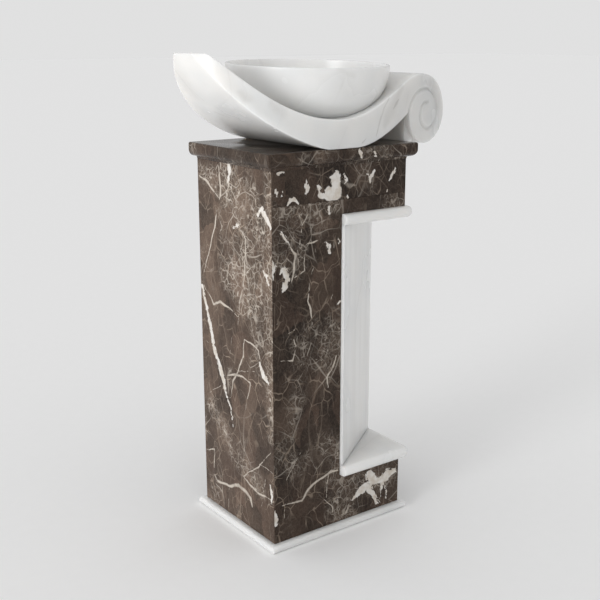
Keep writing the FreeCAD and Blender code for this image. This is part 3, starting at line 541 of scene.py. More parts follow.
# %% Veins of the left slab
left_veins = seen_on_left(
    [(202, 164, 0.5), (211, 178, 1.0), (218, 165, 0.5)],
    [(199, 175, 0.7), (206, 180, 2.5), (213, 190, 1.9), (219, 197, 0.9)],
    [(218, 163, 0.6), (220, 175, 1.6), (221, 194, 2.7), (220, 200, 0.5)],
    [(217, 208, 0.5), (217, 213, 1.4), (215, 225, 1.7), (209, 252, 1.3), (204, 272, 0.7)],
    [(217, 213, 0.5), (222, 226, 1.4), (220, 233, 0.8)],
    [(242, 230, 0.5), (246, 240, 1.5), (245, 260, 1.4), (244, 281, 1.2), (240, 300, 1.2),
     (238, 325, 0.5)],
    [(204, 285, 0.9), (214, 304, 1.7), (220, 301, 2.5), (232, 310, 1.4), (240, 318, 0.4)],
    [(226, 376, 0.7), (235, 374, 2.0), (244, 378, 1.7), (250, 383, 1.6), (249, 391, 1.3),
     (245, 410, 0.4)],
    [(238, 371, 0.7), (255, 371, 0.5)],
    [(244, 339, 0.8), (243, 356, 1.6), (238, 370, 1.6), (233, 381, 1.6), (231, 397, 0.6)],
    [(244, 339, 0.8), (252, 344, 1.5), (258, 350, 1.4), (260, 359, 1.0)],
    [(232, 334, 0.4), (229, 366, 0.4)],
    [(206, 449, 0.6), (214, 449, 1.4), (214, 474, 0.8)],
    [(243, 476, 0.7), (259, 466, 1.3), (271, 452, 0.5)],
    [(259, 464, 0.5), (272, 473, 0.5)],
    [(244, 477, 0.9), (249, 484, 1.9), (258, 493, 1.7), (271, 500, 1.4)],
    [(254, 473, 0.5), (256, 487, 0.5)],
    [(265, 480, 0.5), (261, 506, 0.5)],
    [(229, 487, 0.4), (228, 506, 0.5)],
    [(208, 393, 0.6), (221, 385, 0.5)],
    [(203, 337, 0.5), (214, 349, 0.5)],
    [(227, 400, 0.5), (232, 396, 0.5)],
    [(214, 474, 1.2), (217, 480, 2.4), (229, 486, 2.8), (238, 485, 3.2), (245, 491, 3.5), (250, 498, 3.3),
     (252, 507, 1.2)],
)
left_patches = seen_on_left(
    [(229, 165, 5.0), (230, 172, 4.5), (228, 182, 2.5)],
    [(233, 228, 1.3), (238, 225, 3.4), (241, 222, 1.7)],
    [(258, 215, 2.0), (262, 208, 4.6), (266, 217, 6.2), (271, 228, 3.0)],
    [(202, 285, 3.4), (206, 304, 4.5), (211, 328, 4.5), (214, 347, 5.0), (219, 364, 5.3), (224, 382, 5.9),
     (225, 390, 2.8), (231, 410, 1.8), (233, 427, 1.0)],
    [(263, 270, 1.7), (266, 276, 3.9), (269, 284, 1.7)],
    [(260, 363, 2.2), (263, 375, 6.4), (269, 384, 2.0)],
    [(270, 485, 2.2), (272, 497, 4.5), (271, 503, 1.7)],
)
left_zones = on_left(
    [(95, 97, 16), (55, 93, 20), (30, 80, 24), (62, 70, 22), (30, 62, 14)],
    [(2, 99, 14), (2, 60, 18), (4, 30, 10)],
    [(90, 30, 14), (55, 20, 20), (20, 14, 18)],
)
print("strokes on the left:", len(left_veins) + len(left_patches))

# %% Veins of the front slab
front_veins = seen_on_front(
    [(309, 168, 0.4), (311, 180, 0.5)],
    [(302, 225, 0.5), (301, 236, 1.0), (299, 246, 0.5)],
    [(311, 210, 0.3), (306, 219, 0.8), (302, 225, 0.5)],
    [(299, 210, 0.3), (302, 225, 0.4)],
    [(290, 247, 0.6), (295, 255, 2.2), (294, 272, 1.8), (291, 285, 0.5)],
    [(304, 250, 0.6), (305, 270, 0.9), (295, 277, 0.7)],
    [(289, 260, 0.6), (299, 260, 0.5)],
    [(297, 250, 0.5), (299, 266, 0.5)],
    [(304, 247, 0.4), (307, 244, 1.0), (315, 242, 1.4), (321, 239, 0.7)],
    [(316, 245, 0.3), (317, 257, 0.5), (312, 272, 0.5), (309, 285, 0.6), (308, 301, 1.2), (311, 310, 1.4),
     (312, 325, 0.4)],
    [(334, 237, 0.5), (334, 248, 0.5)],
    [(331, 299, 0.5), (333, 294, 0.4)],
    [(276, 325, 0.5), (280, 321, 0.4)],
    [(281, 361, 0.5), (293, 360, 1.4), (296, 346, 1.4), (294, 340, 0.7)],
    [(298, 369, 0.7), (306, 359, 0.9), (313, 337, 0.3)],
    [(294, 330, 0.6), (288, 334, 0.4)],
    [(315, 360, 0.4), (322, 361, 0.4)],
    [(336, 356, 1.1), (332, 367, 1.7), (327, 377, 1.3), (328, 387, 0.8)],
    [(326, 449, 0.4), (339, 443, 0.4)],
    [(286, 480, 0.5), (301, 450, 0.3)],
    [(282, 506, 0.5), (301, 500, 2.0), (308, 489, 2.7), (319, 480, 1.8), (332, 471, 2.0),
     (337, 470, 1.0)],
    [(326, 497, 0.5), (328, 473, 1.0), (331, 470, 0.7)],
    [(324, 499, 0.4), (332, 507, 0.9), (332, 519, 0.8)],
    [(285, 504, 0.4), (284, 520, 0.4)],
    [(338, 511, 0.4), (346, 497, 0.4)],
    [(344, 514, 0.4), (351, 498, 0.5)],
    [(336, 507, 0.4), (340, 519, 0.7)],
)
front_patches = seen_on_front(
    [(325, 241, 1.4), (329, 246, 3.1), (330, 253, 3.6)],
    [(281, 232, 1.4), (285, 239, 3.1), (289, 245, 1.2)],
    [(272, 260, 2.2), (274, 269, 4.3), (272, 281, 1.2)],
    [(281, 273, 2.9), (284, 269, 4.6), (287, 280, 5.5), (285, 288, 4.8), (281, 295, 1.2)],
    [(336, 307, 1.0), (341, 301, 2.6)],
    [(339, 238, 1.9), (339, 242, 1.7)],
    [(329, 207, 3.8), (329, 213, 2.9)],
    [(275, 509, 0.7), (276, 521, 5.3), (275, 526, 1.2)],
    [(369, 473, 7.2), (372, 480, 9.6), (376, 481, 6.0), (381, 480, 7.2), (387, 474, 10.8),
     (394, 471, 4.8)],
    [(367, 483, 4.2), (365, 487, 9.0), (361, 490, 8.4), (356, 495, 5.4), (352, 500, 1.9)],
    [(370, 484, 4.2), (369, 490, 6.6), (373, 496, 2.9), (377, 504, 1.9)],
    [(370, 489, 2.6), (375, 495, 1.9), (379, 502, 1.2)],
    [(381, 480, 4.2), (381, 486, 2.9), (380, 497, 1.0)],
    [(382, 481, 2.9), (385, 489, 1.4), (386, 498, 1.2)],
    [(365, 475, 2.6), (366, 479, 1.9)],
)
front_zones = on_front(
    [(2, 78, 12), (16, 76, 20), (20, 80, 10)],
    [(40, 44, 9), (46, 48, 10)],
    [(16, 56, 8), (20, 49, 8)],
    [(70, 9, 16), (92, 8, 18)],
)
print("strokes on the front:", len(front_veins) + len(front_patches))

# %% Patches of the header slab
header_patches = seen_on_front(
    [(277, 174, 2.4), (281, 173, 3.4), (285, 172, 2.0)],
    [(306, 180, 1.6), (307, 189, 4.2), (305, 198, 0.9)],
    [(276, 188, 1.2), (277, 193, 2.8), (277, 197, 1.0)],
    [(283, 192, 1.2), (282, 197, 1.4)],
    [(288, 206, 1.4), (291, 200, 4.2), (295, 199, 4.2), (299, 204, 1.0)],
    [(331, 176, 3.0), (336, 176, 9.0), (337, 193, 12.0)],
    [(322, 195, 8.0), (330, 194, 12.0), (337, 193, 12.0)],
    [(319, 186, 2.5), (321, 193, 5.5)],
    [(344, 174, 1.6), (347, 181, 2.6), (345, 184, 1.2)],
    [(347, 195, 1.4), (348, 198, 1.8)],
    [(368, 174, 2.2), (370, 178, 1.8)],
    [(374, 170, 2.8), (371, 178, 3.4), (371, 183, 1.6)],
    [(395, 168, 2.8), (392, 176, 3.2), (389, 181, 1.0)],
    [(388, 190, 1.0), (387, 193, 1.6)],
    [(391, 205, 1.4), (389, 200, 1.8), (386, 207, 0.8)],
    [(372, 186, 0.8), (370, 191, 1.4)],
)
header_holes = seen_on_front(
    [(322, 190, 3.4), (323, 193, 3.6)],
    [(326, 176, 5.0), (327, 183, 4.0)],
)
print("patches on the header:", len(header_patches))

# %% Veins of the right and back slabs
right_veins = on_right(
    [(52, 86, 0.6), (58, 70, 1.6), (66, 58, 2.2), (71, 44, 1.2), (70, 30, 0.5)],
    [(98, 62, 0.6), (86, 55, 1.4), (74, 52, 0.5)],
    [(60, 26, 0.6), (78, 20, 1.5), (97, 17, 0.6)],
    [(10, 9, 0.5), (28, 5, 1.8), (46, 7, 0.6)],
)
right_patches = on_right(
    [(62, 93, 2.0), (66, 90, 6.0), (70, 87, 2.0)],
    [(24, 95, 1.5), (27, 93, 4.0)],
    [(88, 40, 1.5), (90, 37, 4.5), (89, 33, 1.5)],
    [(78, 6, 2.0), (82, 9, 5.5), (86, 12, 2.0)],
)
back_veins = on_back(
    [(4, 92, 0.6), (12, 76, 1.8), (10, 62, 2.4), (17, 45, 1.4), (15, 30, 0.5)],
    [(96, 48, 0.6), (80, 43, 1.8), (62, 45, 1.4), (48, 38, 0.6)],
    [(30, 30, 0.5), (44, 22, 1.6), (52, 10, 1.8), (60, 3, 0.6)],
    [(80, 26, 0.5), (88, 16, 1.6), (84, 6, 0.6)],
    [(90, 97, 0.6), (84, 86, 1.6), (88, 74, 0.6)],
)
back_patches = on_back(
    [(8, 20, 2.0), (11, 17, 7.0), (16, 15, 4.0), (20, 12, 1.5)],
    [(70, 33, 1.5), (73, 30, 5.0), (76, 31, 2.0)],
    [(22, 93, 1.5), (25, 95, 5.0), (28, 97, 2.0)],
    [(93, 60, 2.0), (94, 56, 5.0), (92, 53, 1.5)],
)
print("strokes on the right slab:", len(right_veins) + len(right_patches))
print("strokes on the back slab:", len(back_veins) + len(back_patches))

# %% Patches of the cap
cap_patches = seen_on_cap([(361, 152, 5.0), (363, 158, 2.4)], [(375, 153, 3.4), (378, 158, 1.6)])
print("patches on the cap:", len(cap_patches))

# %% [markdown]
# Now the dark slabs can be dressed. The left slab is given a much paler tone than the front one. That is
# partly a paler part of the block and partly painted light, because that side faces the lamp. The header has
# hardly been crushed. The cap is handled more than the walls, so its polish is finer. One material for them
# all would be quicker, but then the veins would run on through the joints.

# %% Dress the dark slabs
dark_slabs = {
    # Painted light: the left slab's tone, far above the others, also stands for the lamp's light on that
    # side.
    "left_panel": dark_marble("left", (0.0, 0.0, 0.0), 0.87, 0.0, left_veins, left_patches, zones=left_zones),
    "front_panel": dark_marble("front", (0.37, 0.21, 0.64), 0.47, 0.02, front_veins, front_patches,
                               zones=front_zones),
    "front_header_panel": dark_marble("header", (0.91, 0.53, 0.12), 0.39, -0.06, patches=header_patches,
                                      holes=header_holes),
    "right_panel": dark_marble("right", (1.72, 0.33, 0.41), 0.49, 0.02, right_veins, right_patches),
    "back_panel": dark_marble("back", (2.25, 1.14, 0.83), 0.54, 0.03, back_veins, back_patches),
    "cap_slab": dark_marble("cap", (3.31, 0.72, 1.27), 0.45, 0.06, patches=cap_patches, matt=0.09),
}
for node, stone in dark_slabs.items():
    eased_piece(node, node + "_stone", stone, ARRIS)
print("dark slabs:", len(dark_slabs))

# %% [markdown]
# The plinth and the three slabs of the niche are white. The slab set across the corner is sawn along its
# beds, which show as faint upright bands, and one grey smudge crosses it. Its places are given in space, in
# millimetres, because its face is on the slant.

# %% Dress the white slabs
def in_space(half_width_mm, *places):
    return [((x * MM, y * MM, z * MM), half_width_mm * MM) for x, y, z in places]


niche_smudges = [in_space(4.0, (118, -43, 480), (103, -54, 460), (86, -66, 440), (68, -79, 390))]
white_slabs = {
    "plinth_slab": white_marble("plinth", (0.4, 0.0, 0.3), 0.25),
    "niche_back_slab": white_marble("niche_back", (1.2, 0.5, 0.0), 0.10, smudges=niche_smudges,
                                    paleness=1.12, bedding=0.13),
    "niche_shelf_slab": white_marble("niche_shelf", (2.1, 0.2, 0.6), 0.30, paleness=1.03),
    "niche_soffit_slab": white_marble("niche_soffit", (2.8, 0.9, 0.1), 0.25, paleness=0.98),
}
for node, stone in white_slabs.items():
    eased_piece(node, node + "_stone", stone, ARRIS)
print("white slabs:", len(white_slabs))

# %% [markdown]
# The saddle is one block of white marble. From the side it is a ribbon that comes down from a lip, runs
# level under the bowl, climbs, and rolls over itself. It could be modelled by pulling on a box, but its
# lines are plain curves, so they are written as curves whose middle poles are shares of the run they cross.

# %% Side profile of the saddle
scroll_low, scroll_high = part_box("basin_scroll")
bowl_low, bowl_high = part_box("basin_bowl")
bowl_x = (bowl_low[0] + bowl_high[0]) / 2
basin_y = (bowl_low[1] + bowl_high[1]) / 2
LIP_WIDTH = 0.0145
RIBBON = 0.050
RIBBON_LOW_X = -0.0155
SEAT_LEFT = -0.038
SEAT_RIGHT = 0.020
CREST_X = 0.190
CREST_RISE = 0.121
ROLL_LEFT = 0.156
ROLL_FOOT_X = 0.212
ROLL_WAIST = 0.048
NOTCH_RISE = 0.006
QUARTER_ROUND_SHARE = 0.5523
FALL_POLE_SHARE = 0.46
CLIMB_POLE_SHARES = (0.423, 0.746)
SWING_POLE_SHARES = (0.78, 0.08)
SWING_RISE_SHARE = 0.25
REACH_POLE_SHARE = 0.365
SWING_STEPS = 120
SLIT = 0.00001
lip_x, lip_top = scroll_low[0], scroll_high[2]
roll_right, roll_foot = scroll_high[0], scroll_low[2]
crest = seat + CREST_RISE
waist = seat + ROLL_WAIST
notch = waist + NOTCH_RISE
ribbon_z = seat + RIBBON


def bezier(poles, count=60):
    """Points along a Bezier curve of any degree."""
    degree = len(poles) - 1
    poles = np.array(poles)
    t = np.linspace(0.0, 1.0, count)[:, None]
    return sum(math.comb(degree, i) * t ** i * (1 - t) ** (degree - i) * poles[i] for i in range(degree + 1))


def quarter(start, corner, end):
    """A quarter of an ellipse that turns at the corner."""
    start, corner, end = np.array(start), np.array(corner), np.array(end)
    return bezier([start, start + QUARTER_ROUND_SHARE * (corner - start),
                   end + QUARTER_ROUND_SHARE * (corner - end), end])


lip_inner = lip_x + LIP_WIDTH
climb = [RIBBON_LOW_X + share * (CREST_X - RIBBON_LOW_X) for share in CLIMB_POLE_SHARES]
swing = [SEAT_LEFT + share * (lip_x - SEAT_LEFT) for share in SWING_POLE_SHARES]
reach = ROLL_LEFT - SLIT - SEAT_RIGHT
top_line = np.concatenate([
    [(lip_x, lip_top)],
    bezier([(lip_inner, lip_top), (lip_inner + FALL_POLE_SHARE * (RIBBON_LOW_X - lip_inner), ribbon_z),
            (RIBBON_LOW_X, ribbon_z)]),
    bezier([(RIBBON_LOW_X, ribbon_z), (climb[0], ribbon_z), (climb[1], crest), (CREST_X, crest)])[1:],
    quarter((CREST_X, crest), (roll_right, crest), (roll_right, waist))[1:],
])
foot_line = np.concatenate([
    bezier([(lip_x, lip_top), (swing[0], seat + SWING_RISE_SHARE * (lip_top - seat)), (swing[1], seat),
            (SEAT_LEFT, seat)], SWING_STEPS),
    bezier([(SEAT_RIGHT, seat), (SEAT_RIGHT + REACH_POLE_SHARE * reach, seat), (SEAT_RIGHT + reach, notch)]),
    quarter((ROLL_LEFT, waist), (ROLL_LEFT, roll_foot), (ROLL_FOOT_X, roll_foot)),
    quarter((ROLL_FOOT_X, roll_foot), (roll_right, roll_foot), (roll_right, waist))[1:],
])
print("profile points:", len(top_line), len(foot_line))

# %% [markdown]
# From above, the saddle is a pointed oval that is cut off by the roll. To the left of its middle the edge is
# a curve that closes at the tip, and to the right it is a long, shallow arc.

# %% Plan of the saddle
PLAN_HALF_WIDTH = 0.134
PLAN_TIP = -0.2482
PLAN_RIGHT_RADIUS = 0.625
PLAN_STEPS = 160
TIP_POLE_SHARE = 0.70
SIDE_POLE_SHARE = 0.54
oval = bezier([(PLAN_TIP, 0), (PLAN_TIP, TIP_POLE_SHARE * PLAN_HALF_WIDTH),
               (SIDE_POLE_SHARE * PLAN_TIP, PLAN_HALF_WIDTH), (0, PLAN_HALF_WIDTH)], PLAN_STEPS)


def half_width(x):
    if x < 0:
        return float(np.interp(x, oval[:, 0], oval[:, 1]))
    return PLAN_HALF_WIDTH - PLAN_RIGHT_RADIUS + math.sqrt(PLAN_RIGHT_RADIUS ** 2 - x ** 2)


print("half-width at lip and roll:", half_width(lip_x), half_width(roll_right))

# %% [markdown]
# The volute is a groove that starts in the notch where the ribbon meets the roll and winds in round an
# eye. A mason sets out such a spiral with one radius for each quarter turn and joins the marks by eye;
# here a smooth curve joins them. The groove has a round bottom, so its shade fades to both sides.

# %% Spiral of the volute
EYE_X = 0.220
EYE_RISE = 0.050
GROOVE_HALF = 0.0034
GROOVE_DEPTH = 0.0036
GROOVE_STEEPNESS = 1.2
SPIRAL_STEPS = 400
turn_shares = (0.62, 0.58, 0.46, 0.38, 0.26)
eye = (EYE_X, seat + EYE_RISE)
half_roll = (roll_right - ROLL_LEFT) / 2


def smooth_through(xs, ys, wanted):
    """Cubic through the points, with slopes taken from the neighbours."""
    xs, ys = np.array(xs), np.array(ys)
    slopes = np.gradient(ys, xs)
    index = np.clip(np.searchsorted(xs, wanted) - 1, 0, len(xs) - 2)
    step = xs[index + 1] - xs[index]
    t = (wanted - xs[index]) / step
    return ((2 * t ** 3 - 3 * t ** 2 + 1) * ys[index] + (t ** 3 - 2 * t ** 2 + t) * slopes[index] * step
            + (3 * t ** 2 - 2 * t ** 3) * ys[index + 1] + (t ** 3 - t ** 2) * slopes[index + 1] * step)


def spiral_points():
    """From the notch beside the roll, round the eye clockwise, with one radius for each quarter turn."""
    across, up = ROLL_LEFT - eye[0], notch - eye[1]
    turns = [-math.atan2(up, across)] + [math.pi / 2 * (i - 1) for i in range(len(turn_shares))]
    radii = [math.hypot(across, up)] + [share * half_roll for share in turn_shares]
    sweep = np.linspace(turns[0], turns[-1], SPIRAL_STEPS)
    radius = smooth_through(turns, radii, sweep)
    return np.stack([eye[0] + radius * np.cos(sweep), eye[1] - radius * np.sin(sweep)], axis=1)


spiral = spiral_points()
print("spiral from", spiral[0], "to", spiral[-1])


def carved(x, heights):
    """Depth of the carving at these heights of the wall."""
    if x < ROLL_LEFT - 2 * GROOVE_HALF:
        return np.zeros(len(heights))
    gaps = np.hypot(x - spiral[None, :, 0], heights[:, None] - spiral[None, :, 1]).min(axis=1)
    return GROOVE_DEPTH * np.exp(-(gaps / GROOVE_HALF) ** 2 * GROOVE_STEEPNESS)


# %% [markdown]
# The saddle's section at any place along X is a plain rectangle with eased corners, so its mesh is a row of
# such sections. The two walls get many rows, because the volute is carved into them, and the sections stand
# closer together at the lip and on the roll, where the outline turns fastest.

# %% Mesh of the saddle
EDGE = 0.0024
EDGE_SHARE = 0.45
WALL_ROWS = 120
FLAT_ROWS = 12
CORNER_STEPS = 5
LIP_RUN = 0.02
LIP_STEPS = 10
ROLL_STEPS = 150
STATION = 0.0032
FINE_STATION = 0.0011


def section(x):
    """Ring of points round the saddle at x: eased corners, two carved walls, top and underside."""
    top = float(np.interp(x, top_line[:, 0], top_line[:, 1]))
    foot = float(np.interp(x, foot_line[:, 0], foot_line[:, 1]))
    half = half_width(x)
    edge = min(EDGE, EDGE_SHARE * (top - foot), EDGE_SHARE * half)
    corner = np.linspace(0.0, math.pi / 2, CORNER_STEPS)
    heights = np.linspace(top - edge, foot + edge, WALL_ROWS)
    depth = carved(x, heights)
    across = np.linspace(half - edge, edge - half, FLAT_ROWS)[1:-1]
    ring = [(half - d, z) for d, z in zip(depth, heights)]
    ring += [(half - edge + edge * math.cos(c), foot + edge - edge * math.sin(c)) for c in corner[1:]]
    ring += [(y, foot) for y in across]
    ring += [(edge - half - edge * math.sin(c), foot + edge - edge * math.cos(c)) for c in corner[:-1]]
    ring += [(d - half, z) for d, z in zip(depth[::-1], heights[::-1])]
    ring += [(edge - half - edge * math.cos(c), top - edge + edge * math.sin(c)) for c in corner[1:]]
    ring += [(-y, top) for y in across]
    ring += [(half - edge + edge * math.sin(c), top - edge + edge * math.cos(c)) for c in corner[:-1]]
    return [(x, basin_y + y, z) for y, z in ring]


def stations():
    """Places along the saddle: closer together at the lip and on the roll."""
    lip_run = lip_x + LIP_RUN * (1 - np.cos(np.linspace(0, math.pi / 2, LIP_STEPS)))
    ribbon_run = np.arange(lip_x + LIP_RUN + STATION, ROLL_LEFT - 2 * GROOVE_HALF, STATION)
    notch_run = np.arange(ROLL_LEFT - 2 * GROOVE_HALF, ROLL_LEFT - FINE_STATION / 2, FINE_STATION)
    roll_run = ROLL_LEFT + half_roll * (1 - np.cos(np.linspace(0, math.pi, ROLL_STEPS)))
    return np.concatenate([lip_run, ribbon_run, notch_run, [ROLL_LEFT - SLIT], roll_run])


def scroll_mesh():
    bm = bmesh.new()
    rings = [[bm.verts.new(p) for p in section(x)] for x in stations()]
    count = len(rings[0])
    for a, b in zip(rings, rings[1:]):
        for i in range(count):
            bm.faces.new((a[i], a[(i + 1) % count], b[(i + 1) % count], b[i]))
    bm.faces.new(rings[0])
    bm.faces.new(rings[-1][::-1])
    return mesh_from(bm, "basin_scroll_stone")


print("sections along the saddle:", len(stations()))

# %% [markdown]
# The bowl is turned, so its mesh is a profile swept round the drain. Its rim is sawn on a slight slope,
# lower at the front, so the top of each wall depends on the direction. The profile goes up the outside,
# over the rounded rim, down the inside to the seat of the waste, and back along the flat foot.

# %% Mesh of the bowl
BOWL_WALL = 0.005
RIM_FALL = 0.010
RIM_ROUND = 0.0016
BOWL_DEPTH = 0.100
BOWL_OUTER_DEPTH = 0.130
WASTE_HOLE = 0.023
RECESS_RADIUS = 0.0323
TURN_STEPS = 160
WALL_STEPS = 28
RIM_STEPS = 4
bowl_radius = (bowl_high[0] - bowl_low[0]) / 2
bowl_foot = bowl_low[2]
rim = bowl_high[2] - RIM_FALL / 2
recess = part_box("waste_seal")[0][2]


def wall_run(radius, depth, low, high):
    """Points (r, z) up a quarter-ellipse wall from one level to another, upright above the rim."""
    start = math.asin(min(1.0, (rim - low) / depth))
    end = math.asin(max(0.0, (rim - high) / depth))
    run = [(radius * math.cos(t), rim - depth * math.sin(t)) for t in np.linspace(start, end, WALL_STEPS)]
    return run[:-1] + [(run[-1][0], high)]


def bowl_profile(turn):
    slope = math.sin(turn) * RIM_FALL / 2
    inner = bowl_radius - BOWL_WALL
    outside = wall_run(bowl_radius, BOWL_OUTER_DEPTH, bowl_foot, rim + slope - RIM_ROUND)
    floor = rim - BOWL_DEPTH * math.sqrt(1 - (RECESS_RADIUS / inner) ** 2)
    inside = wall_run(inner, BOWL_DEPTH, floor, rim + slope - RIM_ROUND)[::-1]
    turns = [math.pi / 2 * step / RIM_STEPS for step in range(1, RIM_STEPS + 1)]
    over = []
    for (r, z), side, order in ((outside[-1], -1, turns), (inside[0], 1, turns[::-1])):
        over += [(r + side * RIM_ROUND * (1 - math.cos(t)), z + RIM_ROUND * math.sin(t)) for t in order]
    drain = [(RECESS_RADIUS, recess), (WASTE_HOLE, recess), (WASTE_HOLE, bowl_foot)]
    return outside + over + inside + drain


def turned_mesh(name, profile, centre, steps=TURN_STEPS, upright=True):
    """A closed ring of profiles about a line through the centre, upright or level along Y."""
    bm = bmesh.new()
    rings = []
    for step in range(steps):
        turn = 2 * math.pi * step / steps
        ring = []
        for r, along in profile(turn):
            a, b = centre[0] + r * math.cos(turn), centre[1] + r * math.sin(turn)
            ring.append(bm.verts.new((a, b, along) if upright else (a, along, b)))
        rings.append(ring)
    count = len(rings[0])
    for a, b in zip(rings, rings[1:] + rings[:1]):
        for i in range(count):
            bm.faces.new((a[i], b[i], b[(i + 1) % count], a[(i + 1) % count]))
    return mesh_from(bm, name)


bowl_mesh = turned_mesh("basin_bowl_stone", bowl_profile, (bowl_x, basin_y))
print("bowl faces:", len(bowl_mesh.polygons))

# %% [markdown]
# The bowl stands in a socket in the saddle. Cutting the saddle with the bowl's own outer form, grown by
# the thickness of the glue, gives a true seam between the two stones. The hole for the waste and the two
# blind holes for the dowels are cut in the same way. A flat foot under the roll, set back from the two
# walls, is joined on: it stands on the cap, so that the roll does not hang in the air.

# %% Join on and cut away
def carve(mesh, shapes):
    """The mesh after each (name, mesh, operation) has been joined on or cut away."""
    block = new_object("block", mesh)
    tools = []
    for name, shape, operation in shapes:
        tool = new_object(name, shape)
        tools.append(tool)
        cut = block.modifiers.new(name, "BOOLEAN")
        cut.operation = operation
        cut.solver = "EXACT"
        cut.object = tool
    ready = bpy.context.evaluated_depsgraph_get()
    result = bpy.data.meshes.new_from_object(block.evaluated_get(ready))
    for spare in tools + [block]:
        bpy.data.objects.remove(spare)
    return result


def box_mesh(name, middle, size):
    bm = bmesh.new()
    bmesh.ops.create_cube(bm, size=1.0, matrix=Matrix.Translation(middle) @ Matrix.Diagonal((*size, 1)))
    return mesh_from(bm, name)


# %% Cut the socket
GLUE = 0.0003
DOWEL_SPREAD = 0.110
DOWEL_DEPTH = 0.020
DOWEL_RADIUS = 0.0061
HEEL_RIGHT = 0.176
HEEL_INSET = 0.008


def socket_profile(turn):
    wall = wall_run(bowl_radius + GLUE, BOWL_OUTER_DEPTH, bowl_foot, rim + RIM_FALL)
    return [(0.0, bowl_foot)] + wall + [(0.0, rim + RIM_FALL)]


def pin_mesh(name, centre, radius, low, high):
    return turned_mesh(name, lambda turn: [(0.0, low), (radius, low), (radius, high), (0.0, high)], centre)


heel = box_mesh("heel", ((HEEL_RIGHT + ROLL_LEFT) / 2, basin_y, seat + ROLL_WAIST / 2),
                (HEEL_RIGHT - ROLL_LEFT, 2 * (half_width(HEEL_RIGHT) - HEEL_INSET), ROLL_WAIST))
middle = (bowl_x, basin_y)
below_seat = seat - DOWEL_DEPTH
shapes = [("heel", heel, "UNION"),
          ("socket", turned_mesh("socket", socket_profile, middle), "DIFFERENCE"),
          ("waste", pin_mesh("waste", middle, WASTE_HOLE, below_seat, rim), "DIFFERENCE")]
for side in (-1, 1):
    dowel_place = ((SEAT_LEFT + SEAT_RIGHT) / 2, basin_y + side * DOWEL_SPREAD)
    dowel = pin_mesh("dowel", dowel_place, DOWEL_RADIUS, below_seat, seat + DOWEL_DEPTH)
    shapes.append(("dowel", dowel, "DIFFERENCE"))
scroll = carve(scroll_mesh(), shapes)
shade(scroll)
print("saddle faces:", len(scroll.polygons))

# %% [markdown]
# The veins of the basin are few, thin and slanted. On the near wall they are given along the saddle and up
# from the seat; on the lip and on the bowl they are given as places in space. All are in millimetres.

# %% Dress the basin
def on_wall(*places):
    return [((x * MM, basin_y - half_width(x * MM), seat + up * MM), w * MM) for x, up, w in places]


scroll_veins = [
    on_wall((95, 82, 0.8), (83, 66, 1.6), (78, 54, 2.0), (69, 35, 1.6), (63, 16, 0.8)),
    on_wall((121, 78, 1.0), (115, 71, 3.0), (107, 61, 1.0)),
    on_wall((38, 16, 0.5), (29, 9, 1.2)),
    in_space(1.2, (-211, 35, 830), (-200, 25, 818), (-192, 21, 809)),
    in_space(1.2, (-167, 25, 788), (-156, -7, 780)),
]
scroll_smudges = [
    on_wall((130, 98, 7), (103, 57, 10), (87, 35, 6)),
    on_wall((-192, 101, 5), (-185, 87, 6)),
    on_wall((-150, 80, 5), (-128, 62, 7)),
    on_wall((230, 100, 12), (262, 60, 14)),
]
bowl_smudges = [
    in_space(7, (-30, -148, 864), (-4, -151, 850)),
    in_space(12, (70, -125, 850), (100, -100, 835), (110, -60, 815)),
]
scroll_stone = white_marble("scroll", (0.0, 0.0, 0.0), 0.35, scroll_veins, scroll_smudges, paleness=0.95)
bowl_stone = white_marble("bowl", (3.0, 1.0, 0.5), 0.45, smudges=bowl_smudges, paleness=0.95)
add_piece("basin_scroll_stone", scroll, scroll_stone, "basin_scroll")
add_piece("basin_bowl_stone", bowl_mesh, bowl_stone, "basin_bowl")
print("basin veins and smudges:", len(scroll_veins), len(scroll_smudges) + len(bowl_smudges))

# %% [markdown]
# The metal is small and mostly hidden, but it is what a hand meets in the bowl and at the back. Chrome is
# a mirror with faint wipe marks; brushed steel has fine scratches all one way; zinc is dull and blotchy. One
# recipe serves them all, because they differ only in colour, gloss and the way the scratches run.

# %% Metals
def metal(name, colour, rough, scratch_scale, scratch_depth):
    material, tree, shader, place = new_material(name)
    stretched = vector_calc(tree, "MULTIPLY", place, scratch_scale)
    scratch = noise(tree, stretched, 1.0, 4.0, 0.6)
    cloud = noise(tree, place, 60.0, 3.0)
    darker = tuple(0.86 * c for c in colour[:3]) + (1,)
    tree.links.new(mix(tree, threshold(tree, cloud, 0.3, 0.7), colour, darker), shader.inputs["Base Color"])
    gloss = scaled(tree, calc(tree, "ADD", scratch, cloud), 0.5 * rough, 0.5 * rough)
    tree.links.new(gloss, shader.inputs["Roughness"])
    shader.inputs["Metallic"].default_value = 1.0
    tree.links.new(bump(tree, scratch, scratch_depth), shader.inputs["Normal"])
    return material


chrome = metal("chrome_plate", (0.80, 0.81, 0.83, 1), 0.07, (90, 90, 90), 0.000004)
brushed = metal("cover_steel", (0.62, 0.62, 0.61, 1), 0.32, (2500, 2500, 25), 0.00002)
zinc = metal("fastener_steel", (0.58, 0.59, 0.58, 1), 0.38, (700, 700, 700), 0.00001)
brass = metal("turned_brass", (0.72, 0.50, 0.20, 1), 0.22, (60, 60, 4200), 0.00001)
print("metals:", [finish.name for finish in (chrome, brushed, zinc, brass)])

# %% [markdown]
# Seals are black rubber, the trap is white moulded plastic and the steel carcass is painted grey. None of
# them is quite even, so a fine mottle varies the colour and the gloss and roughens the surface a little.

